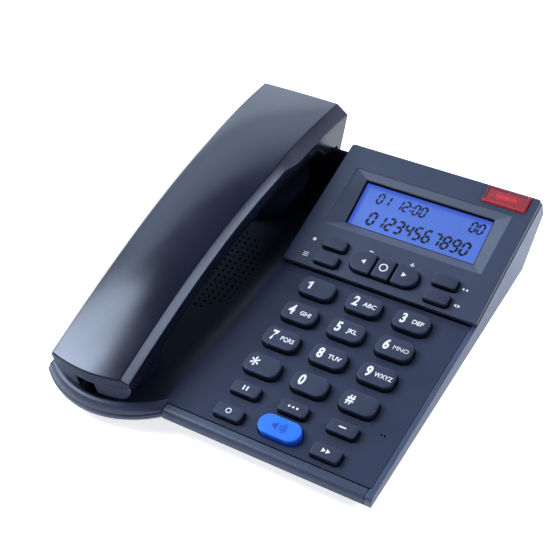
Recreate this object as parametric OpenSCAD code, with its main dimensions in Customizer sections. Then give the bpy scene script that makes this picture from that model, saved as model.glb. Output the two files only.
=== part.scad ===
// Desk telephone for a hotel room. The keypad and the display stand on a sloping deck at the right,
// the handset lies in a trough at the left. Millimetres, +Z up, the user sits at -Y.
$fn = 48;

/* [Deck] */
// Width of the deck that holds the keypad and the display
deck_w = 104; // [98:1:112]
// Thickness of the case walls and panels
wall = 2.4; // [2:0.1:2.8]
// Height of the deck's front edge above the table
front_h = 12.4; // [12:0.1:14]
// Slope of the keypad panel, in degrees
panel_tilt = 15; // [14:0.1:16]
// Slope of the display panel, in degrees
plate_tilt = 23.8; // [22:0.1:25]
// Height of the step up to the display panel
plate_step = 2.9; // [2.4:0.1:3.4]
// Depth of the front lip
lip_d = 5.1; // [4.6:0.1:6]
// Radius of the lip's rounded edge
lip_r = 3.2; // [2.2:0.1:3.4]
// Height of the band behind and below the display panel
rear_band = 11.3; // [10:0.1:13]
// Lean of the case's flanks below the side band, in degrees
flank = 42; // [38:1:46]
// Where the flat bottom ends under the deck, from the front edge
heel = 113.8; // [108:0.2:118]
// Where the flat bottom ends under the trough, from the front edge
tail = 140; // [130:0.5:146]

/* [Feet] */
// Height of the rubber feet below the case
foot_h = 2.5; // [2:0.1:3]
// Radius of the rubber feet
foot_r = 7; // [5.5:0.5:8]
// Depth of the feet's seats in the case
foot_seat = 0.8; // [0.5:0.1:1]

/* [Keypad] */
// Width of a digit key
key_w = 17.8; // [16:0.1:19.6]
// Depth of a digit key
key_d = 10.8; // [9.6:0.1:11.8]
// Corner radius of a digit key
key_r = 3.9; // [2.6:0.1:4.6]
// Height of a digit key above the panel
key_up = 3.4; // [2.8:0.1:4]
// Distance between the digit columns
key_pitch_x = 25.2; // [24:0.1:27]
// Distance between the digit rows
key_pitch_y = 17; // [16.2:0.1:18.6]
// Width of a small key
small_w = 14; // [12:0.1:16]
// Depth of a small key
small_d = 6.8; // [6:0.1:7.4]
// Height of a small key above the panel
small_up = 3; // [2.4:0.1:3.6]
// Width of the speaker key
speaker_w = 21.3; // [19:0.1:23]
// Depth of the speaker key
speaker_d = 10.5; // [9.4:0.1:10.9]
// Distance from the lip to the lower small keys
low_margin = 6.7; // [6.4:0.1:8]
// Distance between the two rows of small keys
small_pitch = 14; // [13.8:0.1:16]
// Distance from the small keys to the lowest digits
digit_gap = 14.6; // [13.6:0.1:16]
// Distance from the top digits to the step
step_margin = 10.8; // [9.8:0.1:13]
// Offset of the keypad from the deck's middle
keypad_shift = -0.8; // [-1.5:0.1:1]
// Clearance round a key in its hole
key_gap = 0.5; // [0.4:0.05:0.7]
// Travel of a key
key_travel = 1.2; // [0.8:0.1:1.25]
// Width of the flange that keeps a key in
flange_w = 1.2; // [1:0.1:1.3]
// Thickness of that flange
flange_t = 1.2; // [1:0.1:1.3]
// Clearance between a flange and the panel above it
flange_gap = 0.3; // [0.25:0.05:0.4]
// Clearance between a pressed key and the dome below it
dome_gap = 0.3; // [0.2:0.05:0.4]

/* [Display] */
// Width of the display recess
bezel_w = 84.6; // [80:0.2:90]
// Depth of the display recess, along the panel
bezel_h = 35.9; // [34:0.1:39]
// Width of the window
lcd_w = 70.4; // [66:0.2:73]
// Height of the window
lcd_h = 25.6; // [23:0.1:26.6]
// Lean of the window against its panel, in degrees
lcd_lean = 7.4; // [5:0.1:8]
// Depth of the window's middle below the panel
lcd_deep = 3.4; // [3:0.1:4]
// Width of a function key
fkey_w = 12; // [10:0.1:14]
// Depth of a function key
fkey_d = 6.4; // [5.6:0.1:6.6]
// Height of the keys on the display panel
fkey_up = 2.8; // [2.2:0.1:3.4]
// Distance of the function keys from the middle
fkey_off = 29.7; // [28:0.1:31]
// Distance of the lower function keys from the step
fkey_v = 5.8; // [5.6:0.1:6.4]
// Distance between the two rows of function keys
fkey_pitch = 9.4; // [9.2:0.1:10]
// Width of the three navigation keys together
nav_w = 36; // [33:0.2:38]
// Depth of the navigation keys
nav_d = 11.4; // [10.4:0.1:12]
// Width of the key in their middle
nav_mid = 9.4; // [8.4:0.1:10.4]
// Width of the message lamp
lamp_w = 22.3; // [19:0.1:25]
// Depth of the message lamp
lamp_d = 9.4; // [8.4:0.1:10.6]
// Height of the message lamp above its panel
lamp_up = 1.5; // [1:0.1:2.2]

/* [Trough] */
// Slope of the trough's floor, in degrees
rake = 12.3; // [11.6:0.1:12.8]
// Height of the trough's floor at the deck's front edge
trough_h = 10.9; // [10.6:0.1:11.4]
// Slope of the side that rises to the keypad, in degrees
bank = 30; // [27:1:34]
// Radius of the rounded front of the cradle
lobe_r = 49; // [47.5:0.5:52]
// Distance that the cradle stands out in front of the deck
lobe_out = 13; // [12:0.2:14.5]
// Height of the rim above the trough's floor
rim_h = 4.5; // [3.6:0.1:5]
// Width of the rim
rim_w = 7.6; // [6.8:0.1:8.6]
// Distance of the trough's rear wall behind the display panel
rear_set = 5.7; // [4.8:0.1:7]
// Radius of the field of speaker holes
grille_r = 26; // [22:0.5:27]
// Distance between the speaker holes
grille_pitch = 5.2; // [4.8:0.1:6.4]
// Radius of a speaker hole
grille_hole = 1.1; // [0.8:0.05:1.3]

/* [Hook] */
// Radius of the hook plunger
hook_r = 4; // [3.2:0.1:4.4]
// Clearance of the plunger in its hole
hook_fit = 0.08; // [0.05:0.01:0.1]
// Rise of the plunger when the handset is lifted
hook_travel = 3; // [2:0.1:3.2]

/* [Handset] */
// Width at the mouthpiece and the grip
hs_w = 45.4; // [42:0.2:48]
// Width at the earpiece
hs_ear_w = 55; // [52:0.2:58]
// Edge chamfer at the mouthpiece and the grip
hs_chamfer = 2.7; // [2:0.1:3.4]
// Edge chamfer at the earpiece
hs_ear_chamfer = 5; // [4:0.1:5.6]
// Rise of the back's arch
hs_arch = 10.9; // [9.5:0.1:12]
// Thickness at the mouthpiece's end
hs_mouth_t = 15.5; // [15:0.1:16]
// Thickness of the grip
hs_grip_t = 17; // [16.4:0.1:18]
// Thickness at the earpiece
hs_ear_t = 20; // [19:0.1:21]
// Height of the straight side above the parting line
hs_side = 2.4; // [1.8:0.1:3]
// Bulge of the mouthpiece's end
hs_bulge = 3.5; // [2.5:0.1:4.5]
// Wall thickness of the handset shells
hs_wall = 2; // [1.6:0.1:2.2]
// Slope of the handset against the trough's floor, in degrees
hs_pitch = 4.3; // [3.9:0.1:4.7]
// Height of the mouthpiece's upper edge above the trough's floor
hs_h = 20.5; // [20:0.1:22]
// Overhang of the earpiece behind the trough's rear wall
hs_over = 13.4; // [11:0.2:15]
// Radius of the ear cup
ear_r = 23; // [21:0.2:25]
// Radius of the mouthpiece's boss
mouth_r = 19; // [16:0.2:20]
// Gap under the handset where it rests in the trough
rest_gap = 0.3; // [0.2:0.05:0.4]

/* [Sockets] */
// Width of a cord socket
plug_w = 9.4; // [8.8:0.1:10]
// Height of a cord socket
plug_h = 6.8; // [6.2:0.1:7]
// Depth of a cord socket
plug_d = 11; // [9:0.2:12]

/* [Hidden] */
SLATE = [0.25, 0.27, 0.34];
DARK = [0.12, 0.13, 0.17];
BLACK = [0.06, 0.06, 0.07];
GREEN = [0.05, 0.32, 0.16];
STEEL = [0.62, 0.63, 0.65];
RUBBER = [0.20, 0.20, 0.21];
eps = 0.02;

// Rows of the keypad, measured from the panel's front edge
v_low = lip_d + low_margin;
v_small = v_low + small_pitch;
v_digit = v_small + digit_gap;
v_speaker = v_low + 2;
panel_len = v_digit + 3 * key_pitch_y + step_margin;
// Rows of the display panel, measured from the step
bezel_v = 25.9;
plate_len = bezel_v + bezel_h + lamp_d + 4;
nav_v = fkey_v + fkey_pitch / 2 + 0.2;

function bank_h(yz) = -yz[0] * sin(rake) + (yz[1] - trough_h) * cos(rake);
step_yz = [panel_len * cos(panel_tilt), front_h + panel_len * sin(panel_tilt)];
bank_run = bank_h(step_yz) / tan(bank);
tub_w = rim_w + 1.4 + 2 * ear_r + 4.1 + bank_run;
base_w = tub_w + deck_w;
deck_r = base_w / 2;
deck_l = deck_r - deck_w;
deck_cx = (deck_l + deck_r) / 2;
keypad_cx = deck_cx + keypad_shift;
fkey_cx = deck_cx - 0.2;
nav_cx = deck_cx - 0.9;
trough_cx = -deck_r + rim_w + 1.4 + ear_r;
trough_r = deck_l - bank_run;
lip_x0 = deck_l - 4.3;
lip_x1 = deck_r - 3.4;

// Depths under a panel, along its normal
flange_z = -wall - flange_gap - flange_t;
dome_z = flange_z - key_travel - dome_gap;
sheet_t = 1;
sheet_z = dome_z - 0.6 - sheet_t;
board_t = 1.6;

// The trough's frame in depth, and the handset's place in it
plate_y0 = panel_len * cos(panel_tilt) - plate_step * sin(panel_tilt);
plate_z0 = front_h + panel_len * sin(panel_tilt) + plate_step * cos(panel_tilt);
v_rear = (plate_y0 + plate_len * cos(plate_tilt) + rear_set) / cos(rake);
hs_v0 = -4.5;
hs_len = (v_rear + hs_over - hs_v0) / cos(hs_pitch);
ear_v = v_rear - wall - 3 - ear_r;
mouth_v = rim_w - lobe_out + 2 + mouth_r;
lobe_v = lobe_r - lobe_out;
end_v = hs_v0 + hs_len * cos(hs_pitch);
end_n = hs_h + hs_len * sin(hs_pitch);
end_y = end_v * cos(rake) - end_n * sin(rake) + hs_ear_chamfer * sin(rake + hs_pitch);
front_out = lobe_out * cos(rake) - 0.1;
front_y = (front_out - end_y) / 2;

// Points in the side view, as [y, z]
function pan(v, n) = [front_y + v * cos(panel_tilt) - n * sin(panel_tilt),
    front_h + v * sin(panel_tilt) + n * cos(panel_tilt)];
function plt(v, n) = [front_y + plate_y0 + v * cos(plate_tilt) - n * sin(plate_tilt),
    plate_z0 + v * sin(plate_tilt) + n * cos(plate_tilt)];
function meet(a, b, c, d) = let (r = b - a, s = d - c, k = r[0] * s[1] - r[1] * s[0],
    t = ((c[0] - a[0]) * s[1] - (c[1] - a[1]) * s[0]) / k) a + t * r;
function inward(a, b, d) = let (e = (b - a) / norm(b - a)) [-e[1], e[0]] * d;

band_z = trough_h - wall * cos(rake) - wall * sin(rake) * tan(rake);
lip_y = front_y + lip_d * cos(panel_tilt);
lip_c = [front_y + lip_r, front_h - lip_r * (1 - sin(panel_tilt)) / cos(panel_tilt)];
lip_arc = [for (a = [90 + panel_tilt : (90 - panel_tilt) / 6 : 180.01]) lip_c + lip_r * [cos(a), sin(a)]];
sill_z = pan(lip_d, -wall)[1] - 0.25;
toe_p = [front_y + 8.2, foot_h];
heel_p = [front_y + heel, foot_h];
tail_p = [front_y + tail, foot_h];
tail_hi = [front_y + v_rear * cos(rake) + wall * sin(rake) - 0.6, trough_h + v_rear * sin(rake)];
rear_lo = plt(plate_len, -rear_band);
rear_hi = plt(plate_len, -plate_step);
side_line = concat([[front_y, band_z], toe_p, heel_p, rear_lo, rear_hi, plt(0, -plate_step),
    pan(panel_len, 0)], lip_arc);
floor_z = foot_h + wall;
slope_n = inward(heel_p, rear_lo, wall);
heel_in = meet(heel_p + slope_n, rear_lo + slope_n, [0, floor_z], [1, floor_z]);
tail_n = inward(tail_p, tail_hi, wall);
tail_in = meet(tail_p + tail_n, tail_hi + tail_n, [0, floor_z], [1, floor_z]);
band_n = inward(rear_lo, rear_hi, wall);
rear_in = meet(heel_p + slope_n, rear_lo + slope_n, rear_lo + band_n, rear_hi + band_n);
room_line = [[lip_y + 0.1 + wall, floor_z + 1.8], [lip_y + wall + 2.2, floor_z], heel_in, rear_in,
    rear_in + (rear_hi - rear_lo) * 6, [lip_y + 0.1 + wall, 130]];

// Shape of the handset over its length, s from 0 at the mouth to 1 at the ear
function soft(t) = let (c = min(max(t, 0), 1)) c * c * (3 - 2 * c);
function hs_hw(s) = (hs_w + (hs_ear_w - hs_w) * soft((s - 0.72) / 0.1)) / 2;
function hs_ch(s) = hs_chamfer + (hs_ear_chamfer - hs_chamfer) * soft((s - 0.72) / 0.1);
function hs_top(s) = 4 * hs_arch * s * (1 - s) * (1 + 0.63 * (s - 0.5));
function hs_crown(s) = 0.8 + 1.4 * soft(s / 0.3) - 1.9 * soft((s - 0.75) / 0.25);
function hs_thick(s) = hs_mouth_t + (hs_grip_t - hs_mouth_t) * soft(s / 0.12)
    + (hs_ear_t - hs_grip_t) * soft((s - 0.7) / 0.12);
function hs_part(s) = hs_top(s) - hs_ch(s) - hs_side;
function hs_under(v) = let (u = (v - hs_v0) / cos(hs_pitch), s = u / hs_len)
    hs_h + u * sin(hs_pitch) + (hs_top(s) - hs_thick(s)) * cos(hs_pitch);
rear_h = hs_under(v_rear) - 0.6;

// Frames: a panel's own axes are X across, Y up its slope and Z along its normal
module on_panel() translate([0, front_y, front_h]) rotate([panel_tilt, 0, 0]) children();
module on_plate() translate([0, front_y + plate_y0, plate_z0]) rotate([plate_tilt, 0, 0]) children();
module on_trough() translate([0, front_y, trough_h]) rotate([rake, 0, 0]) children();
module on_lcd() on_plate() translate([deck_cx, bezel_v + bezel_h / 2 + 1.2, -lcd_deep])
    rotate([lcd_lean, 0, 0]) children();
module on_handset() on_trough() translate([trough_cx, hs_v0, hs_h]) rotate([hs_pitch, 0, 0]) children();
module across(x0, x1) translate([x0, 0, 0]) rotate([90, 0, 90]) linear_extrude(x1 - x0) children();
module slab(x0, x1, y0, y1, z0, z1) translate([x0, y0, z0]) cube([x1 - x0, y1 - y0, z1 - z0]);
module tube(r, z0, z1) translate([0, 0, z0]) cylinder(r = r, h = z1 - z0);

// Rounded rectangle about the origin
module rounded(w, d, r) {
    square([w - 2 * r, d], center = true);
    square([w, d - 2 * r], center = true);
    for (x = [-1, 1], y = [-1, 1]) translate([x * (w / 2 - r), y * (d / 2 - r)]) circle(r);
}

// Places of the keys
function digit_at(c, j) = [keypad_cx + (c - 1) * key_pitch_x, v_digit + j * key_pitch_y];
function small_at(c, low) = [keypad_cx + (c - 1) * key_pitch_x - (low ? 0.4 : 0), low ? v_low : v_small];
function fkey_at(side, row) = [fkey_cx + side * fkey_off, fkey_v + row * fkey_pitch];
speaker_at = [keypad_cx, v_speaker];
SMALL = [[0, false], [1, false], [2, false], [0, true], [2, true]];

module key_holes() {
    for (c = [0 : 2], j = [0 : 3]) translate(digit_at(c, j)) rounded(key_w + 2 * key_gap, key_d + 2 * key_gap,
        key_r + key_gap);
    for (k = SMALL) translate(small_at(k[0], k[1])) rounded(small_w + 2 * key_gap, small_d + 2 * key_gap,
        1.6 + key_gap);
    translate(speaker_at) rounded(speaker_w + 2 * key_gap, speaker_d + 2 * key_gap,
        speaker_d / 2 + key_gap - eps);
}

module fkey_holes() {
    for (x = [-1, 1], j = [0, 1]) translate(fkey_at(x, j)) rounded(fkey_w + 2 * key_gap, fkey_d + 2 * key_gap,
        1.4 + key_gap);
    translate([nav_cx, nav_v]) rounded(nav_w + 2 * key_gap, nav_d + 2 * key_gap, nav_d / 2 + key_gap - eps);
}

// A key: stem with a stepped top edge, and the flange that keeps it in
module key_form(w, d, r, up) {
    translate([0, 0, flange_z]) linear_extrude(flange_t) rounded(w + 2 * flange_w, d + 2 * flange_w, r + flange_w);
    translate([0, 0, flange_z]) linear_extrude(up - flange_z - 0.5) rounded(w, d, r);
    translate([0, 0, up - 0.6]) linear_extrude(0.6) rounded(w - 1, d - 1, r - 0.5);
}

module digit_key(c, j) color(SLATE) on_panel() translate(digit_at(c, j)) key_form(key_w, key_d, key_r, key_up);
module small_key(c, low) color(SLATE) on_panel() translate(small_at(c, low))
    key_form(small_w, small_d, 1.6, small_up);
module fkey(side, row) color(SLATE) on_plate() translate(fkey_at(side, row))
    key_form(fkey_w, fkey_d, 1.4, fkey_up);

// One third of the navigation keys, from x0 to x1 of their common outline
module nav_part(x0, x1, f0, f1) color(SLATE) on_plate() translate([nav_cx, nav_v, 0]) {
    translate([0, 0, flange_z]) linear_extrude(flange_t) intersection() {
        rounded(nav_w + 2 * flange_w, nav_d + 2 * flange_w, nav_d / 2 + flange_w - eps);
        translate([x0 - f0, -20]) square([x1 + f1 - x0 + f0, 40]);
    }
    translate([0, 0, flange_z]) linear_extrude(fkey_up - flange_z) intersection() {
        rounded(nav_w, nav_d, nav_d / 2 - eps);
        translate([x0, -20]) square([x1 - x0, 40]);
    }
}

// Bosses that hold the keypad board up against the panel
boss_at = [for (x = [-1, 1], v = [v_small + 7.2, v_digit + 1.5 * key_pitch_y, v_digit + 2.5 * key_pitch_y])
    [keypad_cx + x * key_pitch_x / 2, v]];
// Long posts that the case screws go into, as [x, distance from the front, panel it hangs from]
post_at = [[deck_l + 7, 20, 0], [deck_l + 7, 80, 0], [trough_cx - 14, 25, 1], [trough_cx + 25, 50, 1]];
function post_top(p) = p[2] == 0 ? front_h + p[1] * tan(panel_tilt) - wall / 2
    : trough_h + p[1] * tan(rake) - wall / 2;
foot_at = [[-deck_r + 30, front_y + 18], [deck_r - 30, front_y + 18], [deck_l - 19, front_y + tail - 14],
    [deck_r - 48, front_y + heel - 14]];
hook_at = [trough_cx, ear_v - 4];
grille_v = 90;

// Plan of the trough's floor, in its own frame: round in front, straight behind
module tub_plan(inset) intersection() {
    translate([-deck_r + inset, -60]) square([deck_r + trough_r - inset + 30, v_rear + 60]);
    union() {
        translate([trough_cx, lobe_v]) circle(lobe_r - inset);
        translate([-deck_r, lobe_v]) square([2 * deck_r, v_rear]);
    }
}

// Cross-section of the rim, x inward from the outer edge
module rim_line() polygon([[0, -wall], [0, -1.2], [0.5, rim_h * 0.35], [1.7, rim_h * 0.78], [3.2, rim_h],
    [4.4, rim_h * 0.95], [5.6, rim_h * 0.6], [6.6, rim_h * 0.16], [rim_w, 0], [rim_w, -wall]]);

// Cuts off the flank below the side band, on the side given; flank_top is the straight edge left above it
flank_top = 0.5;
module flank_cut(side, inset) on_trough() translate([side * (deck_r - inset / cos(flank)), -60, -wall - flank_top])
    rotate([0, side * flank, 0]) translate([side > 0 ? 0 : -120, 0, -120]) cube([120, 320, 120]);

// Pockets for the plugs of the line cord and of the handset's cord
line_x = deck_cx + 5;
line_y = heel_p[0] - 0.5;
cord_y = front_y + 44;
cord_x = -deck_r + 15;
pocket_z = floor_z + 1.2;
module line_pocket(t) slab(line_x - 10 - t, line_x + 10 + t, line_y - t, line_y + 60, pocket_z - t, pocket_z + 12 + t);
module cord_pocket(t) slab(cord_x - 60, cord_x + t, cord_y - 9 - t, cord_y + 9 + t, pocket_z - t, pocket_z + 9 + t);
line_mid = pocket_z + 6;
cord_mid = pocket_z + 4.5;

module lower_right() difference() {
    across(deck_l, deck_r) polygon(side_line);
    flank_cut(1, 0);
}

module lower_left() difference() {
    intersection() {
        across(-deck_r, deck_l) polygon([[front_y - 60, foot_h], tail_p, tail_hi, tail_hi + [0, 60], [front_y - 60, 120]]);
        on_trough() union() {
            translate([trough_cx, lobe_v, -wall - 60]) cylinder(r1 = 4, r2 = lobe_r, h = 60);
            slab(-deck_r, deck_r, lobe_v, v_rear, -120, -wall);
        }
    }
    flank_cut(-1, 0);
}

// Nose under the left end of the front lip
module lower_nose() across(lip_x0, deck_l + 0.5) polygon([[front_y, band_z], toe_p, [front_y + 16, foot_h],
    [front_y + 16, floor_z], [lip_y + wall + 2.2, floor_z], [lip_y + wall, floor_z + 1.8], [lip_y + wall, band_z]]);

module lower_room() {
    difference() {
        across(deck_l - wall - 1, deck_r - wall) polygon(room_line);
        flank_cut(1, wall);
        on_trough() slab(deck_l - 9, deck_l + wall, v_rear - wall - 0.4, 400, -100, 200);
    }
    difference() {
        intersection() {
            across(-deck_r + wall, deck_l - wall) polygon([[front_y - 60, floor_z], tail_in, tail_hi + tail_n,
                tail_hi + tail_n + [0, 60], [front_y - 60, 120]]);
            on_trough() union() {
                translate([trough_cx, lobe_v, -wall - 60]) cylinder(r1 = 2, r2 = 2 + (lobe_r - wall - 2) * 1.05,
                    h = 63);
                slab(-deck_r + wall, deck_r, lobe_v, v_rear + 40, -120, 20);
            }
        }
        flank_cut(-1, wall);
    }
}

module lower_case() color(DARK) difference() {
    union() {
        difference() {
            union() {
                lower_right();
                lower_left();
                lower_nose();
            }
            lower_room();
            // room for the front lip and, behind it, the keypad panel's edge
            across(lip_x0 - 0.2, lip_x1 + 0.15) polygon([[front_y - 9, band_z], [lip_y + 0.1, band_z],
                [lip_y + 0.1, 90], [front_y - 9, 90]]);
            across(deck_l - 1, deck_r - wall) polygon([[lip_y, sill_z], [lip_y + wall + 1, sill_z],
                [lip_y + wall + 1, 90], [lip_y, 90]]);
            // slot for the display panel's left wall
            intersection() {
                on_trough() slab(deck_l - 0.1, deck_l + wall + 0.2, 0, v_rear - wall - 0.5, bank_h(step_yz) - 3.3, 200);
                slab(-200, 200, front_y + plate_y0 + 1.2, 200, 0, 200);
            }
        }
        intersection() {
            union() {
                line_pocket(wall / 2);
                cord_pocket(wall / 2);
            }
            union() {
                lower_right();
                lower_left();
            }
        }
        for (x = [8, 62], y = [58, 92]) translate([deck_l + 8 + x, front_y + y, 0]) tube(3, floor_z - 1, floor_z + 3.6);
    }
    line_pocket(0);
    cord_pocket(0);
    slab(line_x - plug_w / 2 - 0.4, line_x + plug_w / 2 + 0.4, line_y - 9, line_y + 5, line_mid - plug_h / 2 - 0.4,
        line_mid + plug_h / 2 + 0.4);
    slab(cord_x - 5, cord_x + 9, cord_y - plug_w / 2 - 0.2, cord_y + plug_w / 2 + 0.2, cord_mid - plug_h / 2 - 0.2,
        cord_mid + plug_h / 2 + 0.2);
    for (p = foot_at) translate(p) tube(foot_r + 0.05, foot_h - 1, foot_h + foot_seat);
    for (p = post_at) translate([p[0], front_y + p[1], 0]) {
        tube(3.2, foot_h - 1, foot_h + 1.2);
        tube(1.5, foot_h, floor_z + 1);
    }
}

module upper_case() color(SLATE) difference() {
    union() {
        // keypad panel, bounded at the left by the bank of the trough
        difference() {
            on_panel() slab(trough_r - 6, deck_r - wall - 0.2, lip_d + 0.2, panel_len - 0.2, -wall, 0);
            on_trough() translate([0, -40, 0]) rotate([90, 0, 180]) mirror([1, 0, 0]) linear_extrude(400)
                polygon([[trough_r - 60, 0], [trough_r, 0], [trough_r + 60 / tan(bank), 60], [trough_r - 60, 60]]);
        }
        // floor of the trough
        on_trough() intersection() {
            translate([0, 0, -wall]) linear_extrude(wall) tub_plan(0);
            slab(-deck_r - 1, trough_r + 1, -80, v_rear, -20, 20);
        }
        // bank that rises to the keypad
        intersection() {
            on_trough() intersection() {
                translate([0, -40, 0]) rotate([90, 0, 180]) mirror([1, 0, 0]) linear_extrude(400)
                    polygon([[trough_r - 1, -wall], [trough_r - 1, 0], [trough_r, 0],
                        [trough_r + 14 / tan(bank), 14], [trough_r + 14 / tan(bank), 14 - wall / cos(bank)],
                        [trough_r + wall * tan(bank / 2), -wall]]);
                translate([0, 0, -20]) linear_extrude(60) tub_plan(0);
                slab(-200, 200, -60, v_rear, -20, 60);
            }
            union() {
                on_panel() slab(-200, 200, -60, panel_len - 0.2, -120, 0);
                slab(-200, deck_l - 0.2, -200, 200, 0, 200);
            }
        }
        // rim at the left and round the front
        on_trough() intersection() {
            union() {
                translate([-deck_r, v_rear, 0]) rotate([90, 0, 0]) linear_extrude(v_rear + 60) rim_line();
                translate([trough_cx, lobe_v, 0]) rotate_extrude($fn = 96) translate([lobe_r, 0]) mirror([1, 0]) rim_line();
            }
            translate([0, 0, -20]) linear_extrude(60) tub_plan(0);
            union() {
                slab(-deck_r - 1, -deck_r + rim_w, -80, v_rear, -20, 60);
                slab(-deck_r - 1, trough_cx + 20, -80, lobe_v - 20, -20, 60);
            }
        }
        // rear wall
        on_trough() slab(-deck_r, deck_l - 0.2, v_rear - wall, v_rear, -wall, rear_h);
        // bosses, posts, and the guide of the hook plunger
        on_panel() for (b = boss_at) translate(b) tube(2, sheet_z + sheet_t, -wall + 1);
        for (p = post_at) translate([p[0], front_y + p[1], 0]) tube(4, floor_z, post_top(p));
        on_trough() for (x = [-1, 1]) translate([hook_at[0] + x * 10, hook_at[1], 0]) tube(2.4, -12.4, -1);
    }
    on_panel() translate([0, 0, -wall - 1]) linear_extrude(wall + 2) key_holes();
    on_panel() for (b = boss_at) translate(b) tube(1.1, sheet_z - 1, -wall - 0.5);
    on_panel() for (x = [0, 1.7]) translate([deck_r - 11.7 + x, v_small + 5.7, 0]) tube(0.5, -wall - 1, 1);
    for (p = post_at) translate([p[0], front_y + p[1], 0]) tube(1.3, floor_z - 1, post_top(p) - 3);
    // room for the front lip's left end
    slab(lip_x0 - 0.2, deck_r, front_y - 20, lip_y + 0.15, 0, 60);
    // speaker holes
    on_trough() for (i = [-6 : 6], j = [-6 : 6]) let (x = (i + (j % 2 == 0 ? 0 : 0.5)) * grille_pitch,
        y = j * grille_pitch * 0.866) if (norm([x, y]) < grille_r) translate([trough_cx + x, grille_v + y, 0])
        tube(grille_hole, -wall - 1, 1);
    on_trough() translate(hook_at) tube(hook_r + hook_fit, -wall - 1, 1);
}

module display_panel() color(SLATE) difference() {
    union() {
        difference() {
            on_plate() slab(deck_l, deck_r - 0.3, 0, plate_len, -plate_step, 0);
            // hollow over the function keys' flanges
            on_plate() slab(deck_l + wall, deck_r - wall - 0.3, fkey_v - fkey_d / 2 - flange_w - 0.4, bezel_v - 2.5,
                -20, -wall);
        }
        // wall down to the trough
        intersection() {
            across(deck_l, deck_l + wall) polygon([plt(0, -1), plt(plate_len, -1), plt(plate_len, -60), plt(0, -60)]);
            on_trough() slab(-200, 200, 0, v_rear - wall - 0.6, bank_h(step_yz) - 3, 120);
            slab(-200, 200, front_y + plate_y0 + 1.4, 200, 0, 120);
        }
        // pegs that hold the function keys' board
        on_plate() for (x = [-1, 1]) translate([fkey_cx + x * 38.4, nav_v, 0]) tube(1.3, sheet_z + sheet_t, -1);
        // back of the display recess
        hull() {
            on_plate() translate([deck_cx, bezel_v + bezel_h / 2, -plate_step + 0.4]) linear_extrude(0.5)
                square([bezel_w + 3, bezel_h + 3], center = true);
            on_lcd() translate([0, 0, -2.4]) linear_extrude(0.2) square([lcd_w + 5, lcd_h + 5], center = true);
        }
    }
    // recess, and the opening in its floor
    hull() {
        on_plate() translate([deck_cx, bezel_v + bezel_h / 2, 0]) linear_extrude(1)
            square([bezel_w, bezel_h], center = true);
        on_lcd() linear_extrude(0.1) square([lcd_w + 0.6, lcd_h + 0.6], center = true);
    }
    on_lcd() slab(-lcd_w / 2, lcd_w / 2, -lcd_h / 2, lcd_h / 2, -20, 1);
    on_plate() translate([0, 0, -wall - 3]) linear_extrude(wall + 5) fkey_holes();
    on_plate() slab(lamp_x - lamp_w / 2 - 0.1, lamp_x + lamp_w / 2 + 0.1, lamp_v - lamp_d / 2 - 0.1,
        lamp_v + lamp_d / 2 + 0.1, -20, 5);
}
lamp_x = deck_r - 16.2;
lamp_v = plate_len - 0.9 - lamp_d / 2;

module front_trim() color(SLATE) across(lip_x0, lip_x1)
    polygon(concat([[front_y, band_z], [lip_y, band_z], pan(lip_d, 0)], lip_arc));

module display_window() color([0.55, 0.62, 0.80, 0.5]) on_lcd()
    slab(-lcd_w / 2 - 2, lcd_w / 2 + 2, -lcd_h / 2 - 2, lcd_h / 2 + 2, -4, -2.4);

module lcd_panel() color([0.35, 0.48, 0.85]) on_lcd()
    slab(-lcd_w / 2 - 3, lcd_w / 2 + 3, -lcd_h / 2 - 3, lcd_h / 2 + 3, -6.2, -4);

module lcd_backlight() color([0.85, 0.86, 0.88]) on_lcd()
    slab(-lcd_w / 2 - 3, lcd_w / 2 + 3, -lcd_h / 2 - 2, lcd_h / 2 + 2, -9.2, -6.2);

module message_lamp() color([0.80, 0.12, 0.16]) on_plate() {
    slab(lamp_x - lamp_w / 2, lamp_x + lamp_w / 2, lamp_v - lamp_d / 2, lamp_v + lamp_d / 2, -plate_step, lamp_up);
    slab(lamp_x - lamp_w / 2 - 1.4, lamp_x + lamp_w / 2 + 1.4, lamp_v - lamp_d / 2 - 0.6, lamp_v + lamp_d / 2 - 2.6,
        -plate_step - 1, -plate_step);
}

module lamp_led() color([0.86, 0.85, 0.80]) on_plate() {
    slab(lamp_x - 8, lamp_x + 8, lamp_v - 3.5, lamp_v + 1, -plate_step - 5, -plate_step - 1);
    slab(lamp_x - 10, lamp_x + 10, lamp_v - 4.3, lamp_v + 1, -plate_step - 6.4, -plate_step - 5);
}

// A sheet of rubber with a dome under each key, in the frame of its panel
module dome(p, w, d) translate([p[0], p[1], sheet_z + eps]) linear_extrude(dome_z - sheet_z - eps)
    rounded(w, d, 1.2);

module function_membrane() color(RUBBER) on_plate() {
    slab(fkey_cx - 40, fkey_cx + 40, 2.2, bezel_v - 3.2, sheet_z, sheet_z + sheet_t);
    for (x = [-1, 1], j = [0, 1]) dome(fkey_at(x, j), fkey_w - 3, fkey_d - 2);
    for (x = [-1, 0, 1]) dome([nav_cx + x * (nav_w + nav_mid) / 4, nav_v], 6, 6);
}

module function_board() color(GREEN) on_plate()
    slab(fkey_cx - 40, fkey_cx + 40, 2.2, bezel_v - 3.2, sheet_z - board_t, sheet_z);

module sheet_plan() translate([keypad_cx, (lip_d + 3.2 + panel_len - 3) / 2])
    rounded(2 * key_pitch_x + key_w + 2 * flange_w + 1.6, panel_len - 6.2 - lip_d, 2);

module keypad_membrane() color(RUBBER) on_panel() difference() {
    union() {
        translate([0, 0, sheet_z]) linear_extrude(sheet_t) sheet_plan();
        for (c = [0 : 2], j = [0 : 3]) dome(digit_at(c, j), key_w - 5, key_d - 3);
        for (k = SMALL) dome(small_at(k[0], k[1]), small_w - 4, small_d - 2);
        dome(speaker_at, speaker_w - 7, speaker_d - 3);
    }
    for (b = boss_at) translate(b) tube(1.1, sheet_z - 1, sheet_z + 2);
}

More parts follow.
